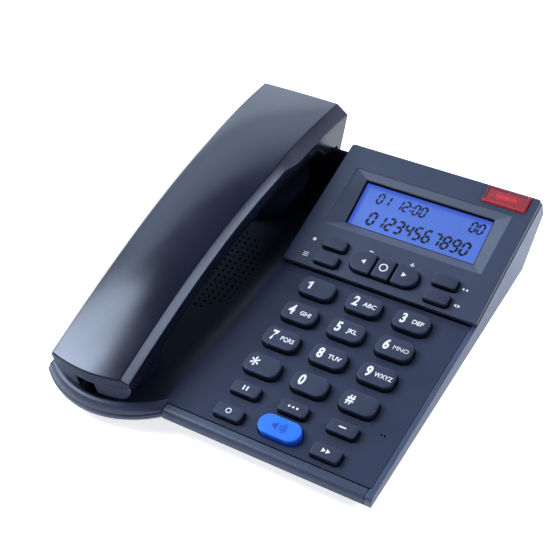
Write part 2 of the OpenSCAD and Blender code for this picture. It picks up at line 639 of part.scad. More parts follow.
module keypad_board() color(GREEN) on_panel() difference() {
    translate([0, 0, sheet_z - board_t]) linear_extrude(board_t) sheet_plan();
    for (b = boss_at) translate(b) tube(1.1, sheet_z - 3, sheet_z + 1);
}

module board_screws() color(STEEL) on_panel() for (b = boss_at) translate(b) {
    tube(2, sheet_z - board_t - 1, sheet_z - board_t);
    tube(1.05, sheet_z - board_t - 0.5, -wall - 1);
}

module main_board() color(GREEN) {
    difference() {
        slab(deck_l + 12, deck_l + 76, front_y + 52, front_y + 98, floor_z + 3.6, floor_z + 5.2);
        for (x = [8, 62], y = [58, 92]) translate([deck_l + 8 + x, front_y + y, 0]) tube(1, floor_z, floor_z + 9);
    }
    slab(deck_l + 34, deck_l + 48, front_y + 66, front_y + 80, floor_z + 5.2, floor_z + 6.8);
    slab(deck_l + 54, deck_l + 64, front_y + 70, front_y + 86, floor_z + 5.2, floor_z + 8.2);
}

module line_jack() color(BLACK) difference() {
    slab(line_x - plug_w / 2 - 2, line_x + plug_w / 2 + 2, line_y - wall / 2 - plug_d - 2, line_y - wall / 2,
        floor_z, line_mid + plug_h / 2 + 1.6);
    slab(line_x - plug_w / 2, line_x + plug_w / 2, line_y - wall / 2 - plug_d, line_y, line_mid - plug_h / 2,
        line_mid + plug_h / 2);
}

module cord_jack() color(BLACK) difference() {
    slab(cord_x + wall / 2, cord_x + wall / 2 + plug_d + 2, cord_y - plug_w / 2 - 2, cord_y + plug_w / 2 + 2,
        floor_z, cord_mid + plug_h / 2 + 1.4);
    slab(cord_x, cord_x + wall / 2 + plug_d, cord_y - plug_w / 2, cord_y + plug_w / 2, cord_mid - plug_h / 2,
        cord_mid + plug_h / 2);
}

module on_speaker() on_trough() translate([trough_cx, grille_v, -wall]) children();

module speaker_frame() color(STEEL) on_speaker() rotate_extrude() polygon([[28, 0], [28, -1.2], [26, -1.4],
    [15, -8], [15, -9], [6, -9], [6, -8], [13.6, -8], [14.2, -7], [25, -1], [26.4, 0]]);

module speaker_cone() color(RUBBER) on_speaker() rotate_extrude() polygon([[26.2, -0.1], [25.4, -0.6], [12, -6.4],
    [0, -6.4], [0, -5.9], [12.2, -5.9], [25.4, -0.15], [26.2, -0.02]]);

module speaker_magnet() color([0.25, 0.25, 0.26]) on_speaker() {
    tube(14, -15, -9);
    tube(5.6, -9.5, -7);
}

module hook_plunger() color(BLACK) on_trough() translate(hook_at) {
    tube(hook_r, -wall - 9, rest_gap - 0.15);
    tube(hook_r + 1.4, -wall - 5, -wall - 3.7);
}

module hook_spring() color(STEEL) on_trough() translate(hook_at) difference() {
    tube(hook_r + 1.3, -14.4, -wall - 5);
    tube(hook_r + 0.4, -16, -wall - 4);
}

module hook_switch() color(DARK) on_trough() translate(hook_at) {
    slab(-8, 8, -6, 6, -20, -14.4);
    slab(-13, -7, -3, 3, -14.4, -12.4);
    slab(7, 13, -3, 3, -14.4, -12.4);
    slab(-13, 13, -3, 3, -15.4, -14.4);
    difference() {
        tube(6.6, -14.4, -11);
        tube(hook_r + 1.5, -16, -10);
    }
}

module base_microphone() color(STEEL) on_panel() translate([deck_r - 10.85, v_small + 5.7, 0])
    tube(2.6, -wall - 2.4, -wall);

module ballast_plate() color(STEEL) slab(trough_cx + 3, trough_cx + 31, front_y + 60, front_y + 106, floor_z,
    floor_z + 3.4);

module case_screws() color(STEEL) for (p = post_at) translate([p[0], front_y + p[1], 0]) {
    tube(2.9, foot_h + 0.2, foot_h + 1.2);
    tube(1.25, foot_h + 0.6, min(floor_z + 9, post_top(p) - 3.4));
}

module rubber_feet() color(RUBBER) for (p = foot_at) translate(p) tube(foot_r, 0, foot_h + foot_seat);

// The handset's shells are slabs between two surfaces over one grid in plan
HS_N = 26;
XI_TOP = [-0.6, -0.2, 0.2, 0.6];
XI_LOW = [-1, -0.97, -0.88, -0.7, -0.4, 0, 0.4, 0.7, 0.88, 0.97, 1];
function hs_s(i, d) = let (e = 1.3 * d / hs_len) e + (1 - 2 * e) * i / HS_N;
function hs_u(s, q) = s * hs_len - hs_bulge * (1 - q * q) * (1 - soft(s / 0.2));
function top_x(s, d) = let (h = hs_hw(s) - d, t = hs_hw(s) - hs_ch(s) - d * 0.6)
    concat([-h, -t], [for (q = XI_TOP) q * t], [t, h]);
function top_w(s, x, d) = let (t = hs_hw(s) - hs_ch(s) - d * 0.6, h = hs_hw(s) - d) abs(x) <= t + eps
    ? hs_top(s) + hs_crown(s) * (1 - x * x / (t * t)) - d
    : hs_top(s) - hs_ch(s) * (abs(x) - t) / (h - t) - d;
function low_w(s, q, d) = let (p = hs_part(s), b = hs_top(s) - hs_thick(s))
    p - 0.6 - (p - 0.6 - b) * sqrt(max(0, 1 - pow(abs(q), 5))) + d;
function lean(s) = 4.5 * soft((s - 0.93) / 0.07);

function mesh_faces(n, m) = let (o = n * m) concat(
    [for (i = [0 : n - 2], k = [0 : m - 2]) each let (a = i * m + k, b = a + m)
        [[a, b, b + 1], [a, b + 1, a + 1], [o + a, o + b + 1, o + b], [o + a, o + a + 1, o + b + 1]]],
    [for (i = [0 : n - 2]) each let (a = i * m, b = a + m, c = a + m - 1, e = b + m - 1)
        [[b, a, o + a], [b, o + a, o + b], [c, e, o + e], [c, o + e, o + c]]],
    [for (k = [0 : m - 2]) each let (a = k, c = (n - 1) * m + k)
        [[a, a + 1, o + a + 1], [a, o + a + 1, o + a], [c + 1, c, o + c], [c + 1, o + c, o + c + 1]]]);

// Upper shell's body; d is the inset, and drop lowers its underside
module upper_body(d, drop) {
    S = [for (i = [0 : HS_N]) hs_s(i, d)];
    top = [for (s = S) for (x = top_x(s, d)) [x, hs_u(s, x / hs_hw(s)), top_w(s, x, d)]];
    low = [for (s = S) for (x = top_x(s, d)) [x, hs_u(s, x / hs_hw(s)), hs_part(s) - drop]];
    polyhedron(concat(top, low), mesh_faces(HS_N + 1, 8), convexity = 6);
}

// Lower shell's body; d is the inset, and lift raises its upper side
module lower_body(d, lift) {
    S = [for (i = [0 : HS_N]) hs_s(i, d)];
    top = [for (s = S) for (q = XI_LOW) [q * (hs_hw(s) - d), hs_u(s, q), hs_part(s) + lift]];
    low = [for (s = S) for (q = XI_LOW) [q * (hs_hw(s) - d), hs_u(s, q) - lean(s), low_w(s, q, d)]];
    polyhedron(concat(top, low), mesh_faces(HS_N + 1, 11), convexity = 6);
}

function hs_floor(u) = hs_top(u / hs_len) - hs_thick(u / hs_len) + hs_wall;
jack_x = -1.5;
jack_v = 1.8;
jack_n = 8.2;
screw_u = [hs_len * 0.27, hs_len * 0.66];

// The handset's socket lies level while the handset rests
module on_jack() on_trough() translate([trough_cx + jack_x, jack_v, jack_n]) rotate([-rake, 0, 0]) children();
module jack_notch() on_jack() slab(-5.3, 5.3, -24, -0.2, -3.1, 3.1);

module handset_upper_shell() color(DARK) difference() {
    on_handset() union() {
        difference() {
            upper_body(0, 0);
            upper_body(hs_wall, 1.5);
        }
        for (u = screw_u) translate([0, u, 0]) tube(3, hs_floor(u) + 0.4, hs_top(u / hs_len));
    }
    jack_notch();
    on_handset() for (u = screw_u) translate([0, u, 0]) tube(1.3, hs_floor(u) - 1, hs_top(u / hs_len) - 4);
}

module handset_lower_shell() color(DARK) difference() {
    union() {
        on_handset() lower_body(0, 0);
        on_trough() translate([trough_cx, ear_v, 0]) tube(ear_r, rest_gap, hs_under(ear_v) + 2.4);
        on_trough() translate([trough_cx, mouth_v, 0]) tube(mouth_r, rest_gap, hs_under(mouth_v) + 2.4);
    }
    on_handset() lower_body(hs_wall, 1.5);
    on_trough() translate([trough_cx, ear_v, 0]) tube(ear_r - hs_wall, rest_gap + hs_wall, hs_under(ear_v) + 3);
    on_trough() translate([trough_cx, mouth_v, 0]) tube(mouth_r - hs_wall, rest_gap + hs_wall, hs_under(mouth_v) + 3);
    // holes for the voice
    on_trough() for (a = [0 : 60 : 300]) translate([trough_cx + 9 * cos(a), ear_v - 3 + 9 * sin(a), 0]) tube(1.2, -1, 4);
    on_trough() for (a = [0 : 120 : 240]) translate([trough_cx + 3 * cos(a), mouth_v + 5 + 3 * sin(a), 0])
        tube(0.9, -1, 4);
    jack_notch();
    on_handset() for (u = screw_u) translate([0, u, 0]) {
        tube(2.6, hs_floor(u) - hs_wall - 3, hs_floor(u) - hs_wall + 1);
        tube(1.5, hs_floor(u) - hs_wall, hs_floor(u) + 1);
    }
}

module receiver_capsule() color(STEEL) on_trough() translate([trough_cx, ear_v, 0]) {
    tube(ear_r - hs_wall - 3, rest_gap + hs_wall, rest_gap + hs_wall + 6);
    tube(ear_r - hs_wall - 9, rest_gap + hs_wall + 5, rest_gap + hs_wall + 11);
}

module microphone() color(STEEL) on_trough() translate([trough_cx, mouth_v + 5, 0])
    tube(4.85, rest_gap + hs_wall, rest_gap + hs_wall + 5);

module handset_jack() color(BLACK) on_jack() difference() {
    slab(-6.4, 6.4, 0, 9, -3.6, 3.7);
    slab(-4.3, 4.3, -1, 8, -2.9, 2.9);
}

module handset_weight() color(STEEL) on_handset()
    slab(-8, 8, hs_len * 0.36, hs_len * 0.58, hs_floor(hs_len * 0.54) + 0.25, hs_floor(hs_len * 0.54) + 4.25);

module handset_screws() color(STEEL) on_handset() for (u = screw_u) translate([0, u, 0]) {
    tube(2.4, hs_floor(u) - hs_wall + 0.1, hs_floor(u) - hs_wall + 1);
    tube(1.25, hs_floor(u) - hs_wall + 0.5, hs_floor(u) + 6);
}

module key_1() digit_key(0, 3);
module key_2() digit_key(1, 3);
module key_3() digit_key(2, 3);
module key_4() digit_key(0, 2);
module key_5() digit_key(1, 2);
module key_6() digit_key(2, 2);
module key_7() digit_key(0, 1);
module key_8() digit_key(1, 1);
module key_9() digit_key(2, 1);
module key_star() digit_key(0, 0);
module key_0() digit_key(1, 0);
module key_hash() digit_key(2, 0);
module key_hold() small_key(0, false);
module key_conference() small_key(1, false);
module key_release() small_key(2, false);
module key_mute() small_key(0, true);
module key_redial() small_key(2, true);
module key_speaker() color([0.20, 0.45, 0.92]) on_panel() translate(speaker_at)
    key_form(speaker_w, speaker_d, speaker_d / 2 - eps, key_up);
module key_record() fkey(-1, 1);
module key_memo() fkey(-1, 0);
module key_flash() fkey(1, 1);
module key_change() fkey(1, 0);
module key_nav_left() nav_part(-nav_w / 2, -nav_mid / 2 - 0.8, flange_w, 0);
module key_nav_ok() nav_part(-nav_mid / 2, nav_mid / 2, 0, 0);
module key_nav_right() nav_part(nav_mid / 2 + 0.8, nav_w / 2, 0, flange_w);

lower_case();
upper_case();
display_panel();
front_trim();
display_window();
lcd_panel();
lcd_backlight();
message_lamp();
lamp_led();
function_board();
function_membrane();
keypad_board();
keypad_membrane();
board_screws();
main_board();
line_jack();
cord_jack();
speaker_frame();
speaker_cone();
speaker_magnet();
hook_plunger();
hook_spring();
hook_switch();
base_microphone();
ballast_plate();
case_screws();
rubber_feet();
key_1();
key_2();
key_3();
key_4();
key_5();
key_6();
key_7();
key_8();
key_9();
key_star();
key_0();
key_hash();
key_hold();
key_conference();
key_release();
key_mute();
key_redial();
key_speaker();
key_record();
key_memo();
key_flash();
key_change();
key_nav_left();
key_nav_ok();
key_nav_right();
handset_upper_shell();
handset_lower_shell();
receiver_capsule();
microphone();
handset_jack();
handset_weight();
handset_screws();
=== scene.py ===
"""Looks of a hotel desk telephone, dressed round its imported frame.

Shapes are worked out in millimetres, in the frames of the sloping panels, and turned into metres.
"""

from math import cos, pi, radians, sin, tan

import bmesh
import bpy
import numpy as np
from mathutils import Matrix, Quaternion, Vector


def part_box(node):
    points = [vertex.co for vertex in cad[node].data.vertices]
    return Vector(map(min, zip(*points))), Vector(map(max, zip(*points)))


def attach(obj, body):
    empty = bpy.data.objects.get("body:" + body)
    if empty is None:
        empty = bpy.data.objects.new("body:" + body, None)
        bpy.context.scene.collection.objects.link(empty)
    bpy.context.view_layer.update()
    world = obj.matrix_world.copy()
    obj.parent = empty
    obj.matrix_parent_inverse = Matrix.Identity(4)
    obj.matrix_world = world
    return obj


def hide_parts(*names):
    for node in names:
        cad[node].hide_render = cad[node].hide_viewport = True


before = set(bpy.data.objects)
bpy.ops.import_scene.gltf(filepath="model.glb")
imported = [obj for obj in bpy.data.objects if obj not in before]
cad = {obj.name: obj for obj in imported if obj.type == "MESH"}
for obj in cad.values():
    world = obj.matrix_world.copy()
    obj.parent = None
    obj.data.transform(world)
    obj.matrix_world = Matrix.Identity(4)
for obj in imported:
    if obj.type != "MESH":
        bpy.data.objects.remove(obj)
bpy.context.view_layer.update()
MM = 0.001


# Studio: a white table under a soft box at the left, a smaller one at the right and three dim ones behind.
# The sky is pale at the horizon and dark overhead, so that dark plastic shows where it leans.
def paint(red, green, blue):
    """Linear colour of a paint given in ordinary screen values, 0 to 255."""
    value = np.array([red, green, blue]) / 255
    linear = np.where(value <= 0.04045, value / 12.92, ((value + 0.055) / 1.055) ** 2.4)
    return (*linear.tolist(), 1.0)


def add_node(tree, kind, inputs=None, **settings):
    """New shader node of a kind, with its settings, its input values and its incoming links."""
    node = tree.nodes.new("ShaderNode" + kind)
    for key, value in settings.items():
        setattr(node, key, value)
    for key, value in (inputs or {}).items():
        if isinstance(value, bpy.types.NodeSocket):
            tree.links.new(value, node.inputs[key])
        else:
            node.inputs[key].default_value = value
    return node


def maths(tree, operation, *values):
    """Output of a sum on one or two values."""
    return add_node(tree, "Math", dict(enumerate(values)), operation=operation).outputs[0]


def blended(tree, share, first, second):
    """Output that goes from the first colour to the second as the share goes from 0 to 1."""
    return add_node(tree, "MixRGB", {"Fac": share, "Color1": first, "Color2": second}).outputs[0]


def ramp(tree, value, low, high, start=0, stop=1, soft=False):
    """Output that goes from start to stop as a value goes from low to high, and stays level beyond."""
    ends = {"From Min": low, "From Max": high, "To Min": start, "To Max": stop}
    node = add_node(tree, "MapRange", {"Value": value, **ends},
                    interpolation_type="SMOOTHSTEP" if soft else "LINEAR")
    return node.outputs[0]


def measured(tree, place, way):
    """Output that measures a place along a direction: their scalar product."""
    return add_node(tree, "VectorMath", {0: place, 1: way}, operation="DOT_PRODUCT").outputs["Value"]


def white_table():
    """Matt white that also glows a little towards the eye and in reflections, and keeps its shadows."""
    material = bpy.data.materials.new("white_table")
    material.use_nodes = True
    tree = material.node_tree
    tree.nodes.clear()
    ray = add_node(tree, "LightPath").outputs
    seen = maths(tree, "MAXIMUM", ray["Is Camera Ray"], ray["Is Glossy Ray"])
    seen = maths(tree, "MAXIMUM", seen, ray["Is Transmission Ray"])
    glow = maths(tree, "MULTIPLY", seen, table_glow)
    matt = add_node(tree, "BsdfDiffuse", {"Color": table_white})
    lit = add_node(tree, "Emission", {"Color": (1, 1, 1, 1), "Strength": glow})
    both = add_node(tree, "AddShader", {0: matt.outputs[0], 1: lit.outputs[0]})
    add_node(tree, "OutputMaterial", {"Surface": both.outputs[0]})
    return material


table_white, table_glow = (0.86, 0.86, 0.86, 1), 0.74
table_half = 4.0
table = bpy.data.meshes.new("table")
table.from_pydata([(x * table_half, y * table_half, 0) for x, y in ((-1, -1), (1, -1), (1, 1), (-1, 1))],
                  [], [(0, 1, 2, 3)])
table.materials.append(white_table())
table = bpy.data.objects.new("table", table)
bpy.context.collection.objects.link(table)

sky_horizon, sky_zenith, sky_front = 0.85, 0.2, 0.3
sky_blue, sky_rear = (0.84, 0.93, 1.1, 1), (-0.45, 0.89, 0)
world = bpy.data.worlds.new("studio")
bpy.context.scene.world = world
world.use_nodes = True
tree = world.node_tree
direction = add_node(tree, "TexCoord").outputs["Generated"]
height = add_node(tree, "SeparateXYZ", {0: direction}).outputs["Z"]
fall = ramp(tree, height, 0.05, 0.75, sky_horizon, sky_zenith, soft=True)
behind = ramp(tree, measured(tree, direction, sky_rear), -0.6, 0.4, sky_front, 1)
sky = blended(tree, maths(tree, "MULTIPLY", fall, behind), (0, 0, 0, 1), sky_blue)
tree.links.new(sky, tree.nodes["Background"].inputs["Color"])

lamp_aim = Vector((0, 0, 0.03))


def soft_box(name, place, size, radiance, colour, roll=0):
    """Flat lamp of the given size in metres, facing the phone and rolled about that line by some degrees.

    Its power follows from its brightness.
    """
    lamp = bpy.data.lights.new(name, "AREA")
    lamp.color = colour
    lamp.shape = "RECTANGLE"
    lamp.size, lamp.size_y = size
    lamp.energy = radiance * pi * size[0] * size[1]
    lamp = bpy.data.objects.new(name, lamp)
    bpy.context.collection.objects.link(lamp)
    lamp.location = place
    facing = (lamp_aim - Vector(place)).to_track_quat("-Z", "Y")
    lamp.rotation_euler = (facing @ Quaternion((0, 0, 1), radians(roll))).to_euler()


soft_box("left_box", (-0.90, -0.33, 0.91), (0.5, 0.75), 14.4, (0.91, 0.96, 1), roll=-28)
soft_box("rear_low_box", (-0.74, 0.99, 0.55), (1.5, 0.5), 2.3, (0.78, 0.89, 1))
soft_box("rear_high_box", (-0.62, 0.65, 1.04), (1.6, 0.55), 2.0, (0.78, 0.89, 1))
soft_box("right_box", (0.99, 0.30, 0.70), (0.8, 0.35), 7, (0.89, 0.94, 1))
soft_box("rear_right_box", (0.56, 0.97, 0.42), (0.6, 0.45), 0.9, (0.84, 0.92, 1))

camera = bpy.data.cameras.new("camera")
camera.sensor_width = 36
camera.lens = 84.77
camera = bpy.data.objects.new("camera", camera)
bpy.context.collection.objects.link(camera)
camera.location = (0.26306, -0.43950, 0.40913)
camera.rotation_euler = (radians(54.42), 0, radians(31.81))
bpy.context.scene.camera = camera
bpy.context.scene.view_settings.view_transform = "Standard"


# Lower case: the moulded tray with the side band, the sloping flanks and the rear band, in dark plastic
# with a fine spark-eroded grain. It carries everything else of the base.
cool_sheen = (0.70, 0.79, 1.0, 1)
cloud_scale, cloud_tint, cloud_gloss = 45, 0.18, 0.03


def nodes_of(material):
    """A material's node tree, its surface shader and the coordinates of the piece in it."""
    material.use_nodes = True
    tree = material.node_tree
    return tree, tree.nodes["Principled BSDF"], add_node(tree, "TexCoord").outputs["Object"]


def noise(tree, coords, scale, detail, roughness=0.5):
    """Output of a cloudy pattern with about scale patches to the metre."""
    settings = {"Vector": coords, "Scale": scale, "Detail": detail, "Roughness": roughness}
    return add_node(tree, "TexNoise", settings).outputs[0]


def shaded(colour, share):
    """A colour made darker or lighter by a share."""
    return (*[c * share for c in colour[:3]], 1)


def bumped(tree, shader, height, strength, depth):
    """Gives a shader the bump of a height pattern, depth in mm; returns the bump's node."""
    bump = add_node(tree, "Bump", {"Height": height, "Strength": strength, "Distance": depth * MM})
    tree.links.new(bump.outputs[0], shader.inputs["Normal"])
    return bump


def moulded(name, colour, roughness, grain=0.3, depth=0.012, edge=0.0, reflect=0.5):
    """Injection-moulded plastic: faint clouds in colour and gloss, and a fine grain of the tool's surface.

    grain and depth are the size and height of the grain in mm, and edge rounds sharp corners by that much.
    """
    material = bpy.data.materials.new(name)
    tree, shader, coords = nodes_of(material)
    cloud = noise(tree, coords, cloud_scale, 4, 0.6)
    tint = blended(tree, cloud, shaded(colour, 1 - cloud_tint), shaded(colour, 1 + cloud_tint))
    gloss = ramp(tree, cloud, 0.3, 0.7, roughness - cloud_gloss, roughness + cloud_gloss)
    bump = bumped(tree, shader, noise(tree, coords, 1 / (grain * MM), 2), 0.35, depth)
    if edge:
        bevel = add_node(tree, "Bevel", {"Radius": edge * MM}, samples=6)
        tree.links.new(bevel.outputs[0], bump.inputs["Normal"])
    tree.links.new(tint, shader.inputs["Base Color"])
    tree.links.new(gloss, shader.inputs["Roughness"])
    shader.inputs["Specular IOR Level"].default_value = reflect
    shader.inputs["Specular Tint"].default_value = cool_sheen
    return material


def finish(material, *names):
    """Gives a material to solids of the frame."""
    for name in names:
        cad[name].data.materials.clear()
        cad[name].data.materials.append(material)


tray_slate = paint(57, 69, 99)
tray_plastic = moulded("tray_plastic", tray_slate, 0.36, edge=0.5, reflect=1.0)
finish(tray_plastic, "lower_case")


# Upper case: the keypad panel, the bank that falls to the handset's trough, the trough's floor with its
# speaker holes, the rounded rim and the rear wall. One moulding of slate-coloured plastic.
def tilted(y, z, degrees):
    """Frame of a sloping panel: x across, v up the slope and n along the normal, in mm; gives metres."""
    c, s = cos(radians(degrees)), sin(radians(degrees))

    def place(x, v, n):
        x, v, n = np.broadcast_arrays(x, v, n)
        return np.stack([x, y + v * c - n * s, z + v * s + n * c], -1) * MM
    return place


def show(mesh, body, slot, material, *stands_for, sharp=30):
    """Puts a finished mesh in the scene: smooth but for its sharp edges, with its material and its body."""
    mesh.shade_smooth()
    mesh.set_sharp_from_angle(angle=radians(sharp))
    mesh.materials.append(material)
    piece = bpy.data.objects.new(mesh.name, mesh)
    bpy.context.collection.objects.link(piece)
    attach(piece, body)
    if stands_for:
        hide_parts(*stands_for)
    return piece


# angle in degrees past which the edges of flat sheets and of print stay sharp
FLAT = 8


def closed(mesh):
    """Merges a mesh's points that meet and turns its faces outwards."""
    work = bmesh.new()
    work.from_mesh(mesh)
    bmesh.ops.remove_doubles(work, verts=work.verts, dist=0.001 * MM)
    bmesh.ops.dissolve_degenerate(work, edges=work.edges, dist=0.0005 * MM)
    bmesh.ops.recalc_face_normals(work, faces=work.faces)
    work.to_mesh(mesh)
    work.free()
    return mesh


def grids(name, *surfaces):
    """Mesh of surfaces given as grids of points, rows by columns; each four neighbours make a face."""
    points, faces, start = [], [], 0
    for surface in surfaces:
        rows, columns = surface.shape[:2]
        index = start + np.arange(rows * columns).reshape(rows, columns)
        corners = [index[:-1, :-1], index[1:, :-1], index[1:, 1:], index[:-1, 1:]]
        faces.append(np.stack(corners, -1).reshape(-1, 4))
        points.append(surface.reshape(-1, 3))
        start += rows * columns
    mesh = bpy.data.meshes.new(name)
    mesh.from_pydata(np.vstack(points).tolist(), [], np.vstack(faces).tolist())
    return closed(mesh)


def looped(rings):
    """Rings of points, each closed by its first point."""
    return np.concatenate([rings, rings[:, :1]], 1)


def capped(name, rings):
    """Closed mesh of a tube in rings, with a fan to the middle at both ends."""
    tube = looped(rings)
    fans = [np.stack([tube[k], np.broadcast_to(tube[k].mean(0), tube[k].shape)]) for k in (0, -1)]
    return grids(name, tube, *fans)


def skin(top, low):
    """The six sides of a slab between two grids of the same shape."""
    sides = [np.stack([a, b]) for a, b in ((top[0], low[0]), (top[-1], low[-1]),
                                           (top[:, 0], low[:, 0]), (top[:, -1], low[:, -1]))]
    return [top, low, *sides]


def laid(name, curve, place):
    """Mesh of a flat curve or text, with its points put in their place."""
    flat = bpy.data.objects.new(name, curve)
    mesh = bpy.data.meshes.new_from_object(flat)
    bpy.data.objects.remove(flat)
    mesh.name = name
    mesh.materials.clear()
    points = np.empty(len(mesh.vertices) * 3, np.float32)
    mesh.vertices.foreach_get("co", points)
    mesh.vertices.foreach_set("co", place(*points.reshape(-1, 3).astype(float).T).ravel())
    return closed(mesh)


def plate(name, loops, place, low, high, edge):
    """Flat sheet cut to an outline and its holes, from low to high, with edges rounded by edge, in mm.

    It is a filled flat curve with thickness, made a mesh and then put in its place.
    """
    curve = bpy.data.curves.new(name, "CURVE")
    curve.dimensions, curve.fill_mode = "2D", "BOTH"
    for loop in loops:
        spline = curve.splines.new("POLY")
        spline.points.add(len(loop) - 1)
        spline.points.foreach_set("co", np.c_[loop, np.zeros(len(loop)), np.ones(len(loop))].ravel())
        spline.use_cyclic_u = True
    curve.extrude, curve.bevel_depth, curve.offset = (high - low) / 2 - edge, edge, -edge
    curve.bevel_resolution = 2
    return laid(name, curve, lambda x, y, z: place(x, y, z + (low + high) / 2))


def circle(x, y, radius, count=16):
    """Points round a circle."""
    turn = np.linspace(0, 2 * pi, count, endpoint=False)
    return np.c_[x + radius * np.cos(turn), y + radius * np.sin(turn)]


def rounded(x, y, width, depth, radius, count=9):
    """Outline of a rectangle with round corners: a quarter circle about each corner's centre.

    radius is one number, or one for each corner, anticlockwise from the upper right.
    """
    turn = np.linspace(0, pi / 2, count)
    signs = ((1, 1), (-1, 1), (-1, -1), (1, -1))
    corners = []
    for k, ((sx, sy), r) in enumerate(zip(signs, np.broadcast_to(radius, 4))):
        a = turn + k * pi / 2
        middle_x, middle_y = x + sx * (width / 2 - r), y + sy * (depth / 2 - r)
        corners.append(np.c_[middle_x + r * np.cos(a), middle_y + r * np.sin(a)])
    return np.vstack(corners)


# the deck's sides, its heights at the front edge, its slopes in degrees and its lengths along them
deck_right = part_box("lower_case")[1].x / MM
deck_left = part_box("display_panel")[0].x / MM
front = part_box("front_trim")[0].y / MM
deck_mid = (deck_left + deck_right) / 2
wall = 2.4
front_h, panel_tilt, panel_len, lip_d = 12.4, 15, 102.2, 5.1
trough_h, rake, bank = 10.9, 12.3, 30
on_panel = tilted(front, front_h, panel_tilt)
on_trough = tilted(front, trough_h, rake)

# places of the keys in the panel: three columns of digits, and the small keys below them
keypad_x = deck_mid - 0.8
pitch_x, pitch_y, digit_v = 25.2, 17, 40.4
key_gap = 0.5
digit_size, small_size, speaker_size = (17.8, 10.8, 3.9), (14, 6.8, 1.6), (21.3, 10.5, 5.2)
DIGITS = [["key_star", "key_0", "key_hash"], ["key_7", "key_8", "key_9"], ["key_4", "key_5", "key_6"],
          ["key_1", "key_2", "key_3"]]
panel_keys = {}
for row, names in enumerate(DIGITS):
    for column, name in enumerate(names):
        panel_keys[name] = (keypad_x + (column - 1) * pitch_x, digit_v + row * pitch_y, *digit_size)
hold_row, mute_row, mute_shift, speaker_v = 25.8, 11.8, 0.4, 13.8
for name, column, v in (("key_hold", 0, hold_row), ("key_conference", 1, hold_row),
                        ("key_release", 2, hold_row), ("key_mute", 0, mute_row), ("key_redial", 2, mute_row)):
    shift = mute_shift if v == mute_row else 0
    panel_keys[name] = (keypad_x + (column - 1) * pitch_x - shift, v, *small_size)
panel_keys["key_speaker"] = (keypad_x, speaker_v, *speaker_size)


def key_hole(x, v, width, depth, radius):
    """Outline of the hole round a key."""
    return rounded(x, v, width + 2 * key_gap, depth + 2 * key_gap, radius + key_gap)


# the panel's height over the trough's floor, and where the bank meets both
panel_rise = tan(radians(panel_tilt - rake))
panel_n0 = (front_h - trough_h) * (cos(radians(rake)) - sin(radians(rake)) * panel_rise)
trough_right = deck_left - (panel_len * sin(radians(panel_tilt - rake))
                            + (front_h - trough_h) * cos(radians(rake))) / tan(radians(bank))
rim_w, rim_h, lobe_r, lobe_out, ear_r = 7.6, 4.5, 49, 13, 23
trough_x = -deck_right + rim_w + 1.4 + ear_r
lobe_v = lobe_r - lobe_out
rear_v, rear_wall_h = 176.524, 17.1
hair = 0.02

# where the trough's pieces end, just inside the rear wall, the display plate and the front trim
rear_in = rear_v - wall + 0.3
plate_in = deck_left - 0.2
lip_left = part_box("front_trim")[0].x / MM
lip_in = lip_left - 0.2

case_slate, case_reflect = paint(50, 57, 80), 0.2
case_plastic = moulded("case_plastic", case_slate, 0.46, reflect=case_reflect)


def bank_top(v):
    """Where the bank's slope reaches the panel, at a distance v up the trough."""
    return trough_right + (panel_n0 + panel_rise * v) / tan(radians(bank))


def shaded_trough_plastic(name, colour, deep):
    """Case plastic with painted shade: darker and duller from the panel's edge down the bank into the trough.
    """
    material = moulded(name, colour, 0.46, reflect=case_reflect)
    tree, shader, coords = nodes_of(material)
    lean = panel_rise / tan(radians(bank))
    across = np.array([1, -lean * cos(radians(rake)), -lean * sin(radians(rake))])
    start = bank_top(0) + across[1] * front + across[2] * trough_h
    near = ramp(tree, measured(tree, coords, across), (start - 11) * MM, (start + 4.5) * MM, soft=True)
    for key, low in (("Base Color", deep), ("Roughness", (0.9, 0.9, 0.9, 1))):
        usual = shader.inputs[key].links[0].from_socket
        tree.links.new(blended(tree, near, low, usual), shader.inputs[key])
    return material


# the darker colour down the bank and in the trough is painted shade, not a colour of the plastic
trough_plastic_painted_shade = shaded_trough_plastic("trough_plastic_painted_shade", case_slate, paint(23, 28, 42))

panel_front, panel_rear, panel_right = lip_d + 0.25, panel_len - 0.3, deck_right - wall - 0.2
# how far past the bank's top the panel starts, and how far the bank's own sheet goes on under it
panel_lap, bank_lap = 4, 5.2
panel_edges = np.array([[bank_top(lip_d) + panel_lap, panel_front], [panel_right, panel_front],
                        [panel_right, panel_rear], [bank_top(panel_len) + panel_lap, panel_rear]])
panel_holes = [key_hole(*size) for size in panel_keys.values()]
dots_x, dots_v, dot_r = deck_right - 11.7, 31.5, 0.5
microphone_dots = [circle(dots_x + x, dots_v, dot_r) for x in (0, 1.7)]
keypad_panel = plate("keypad_panel", [panel_edges, *panel_holes, *microphone_dots], on_panel, -wall, 0, 0.25)
show(keypad_panel, "base", "case_slate", case_plastic, "upper_case", sharp=FLAT)


def soft_max(a, b, k):
    """The larger of two heights, rounded where they are nearer than k."""
    return np.maximum(a, b) + np.maximum(k - np.abs(a - b), 0) ** 2 / (4 * k)


foot_round, brow_round = 2.6, 1.8


def bank_surface(x, v):
    """Height of the trough's side: flat floor, bank's slope and panel, rounded where they meet."""
    slope = soft_max(0 * x, (x - trough_right) * tan(radians(bank)), foot_round)
    return -soft_max(-slope, -(panel_n0 + panel_rise * v), brow_round)


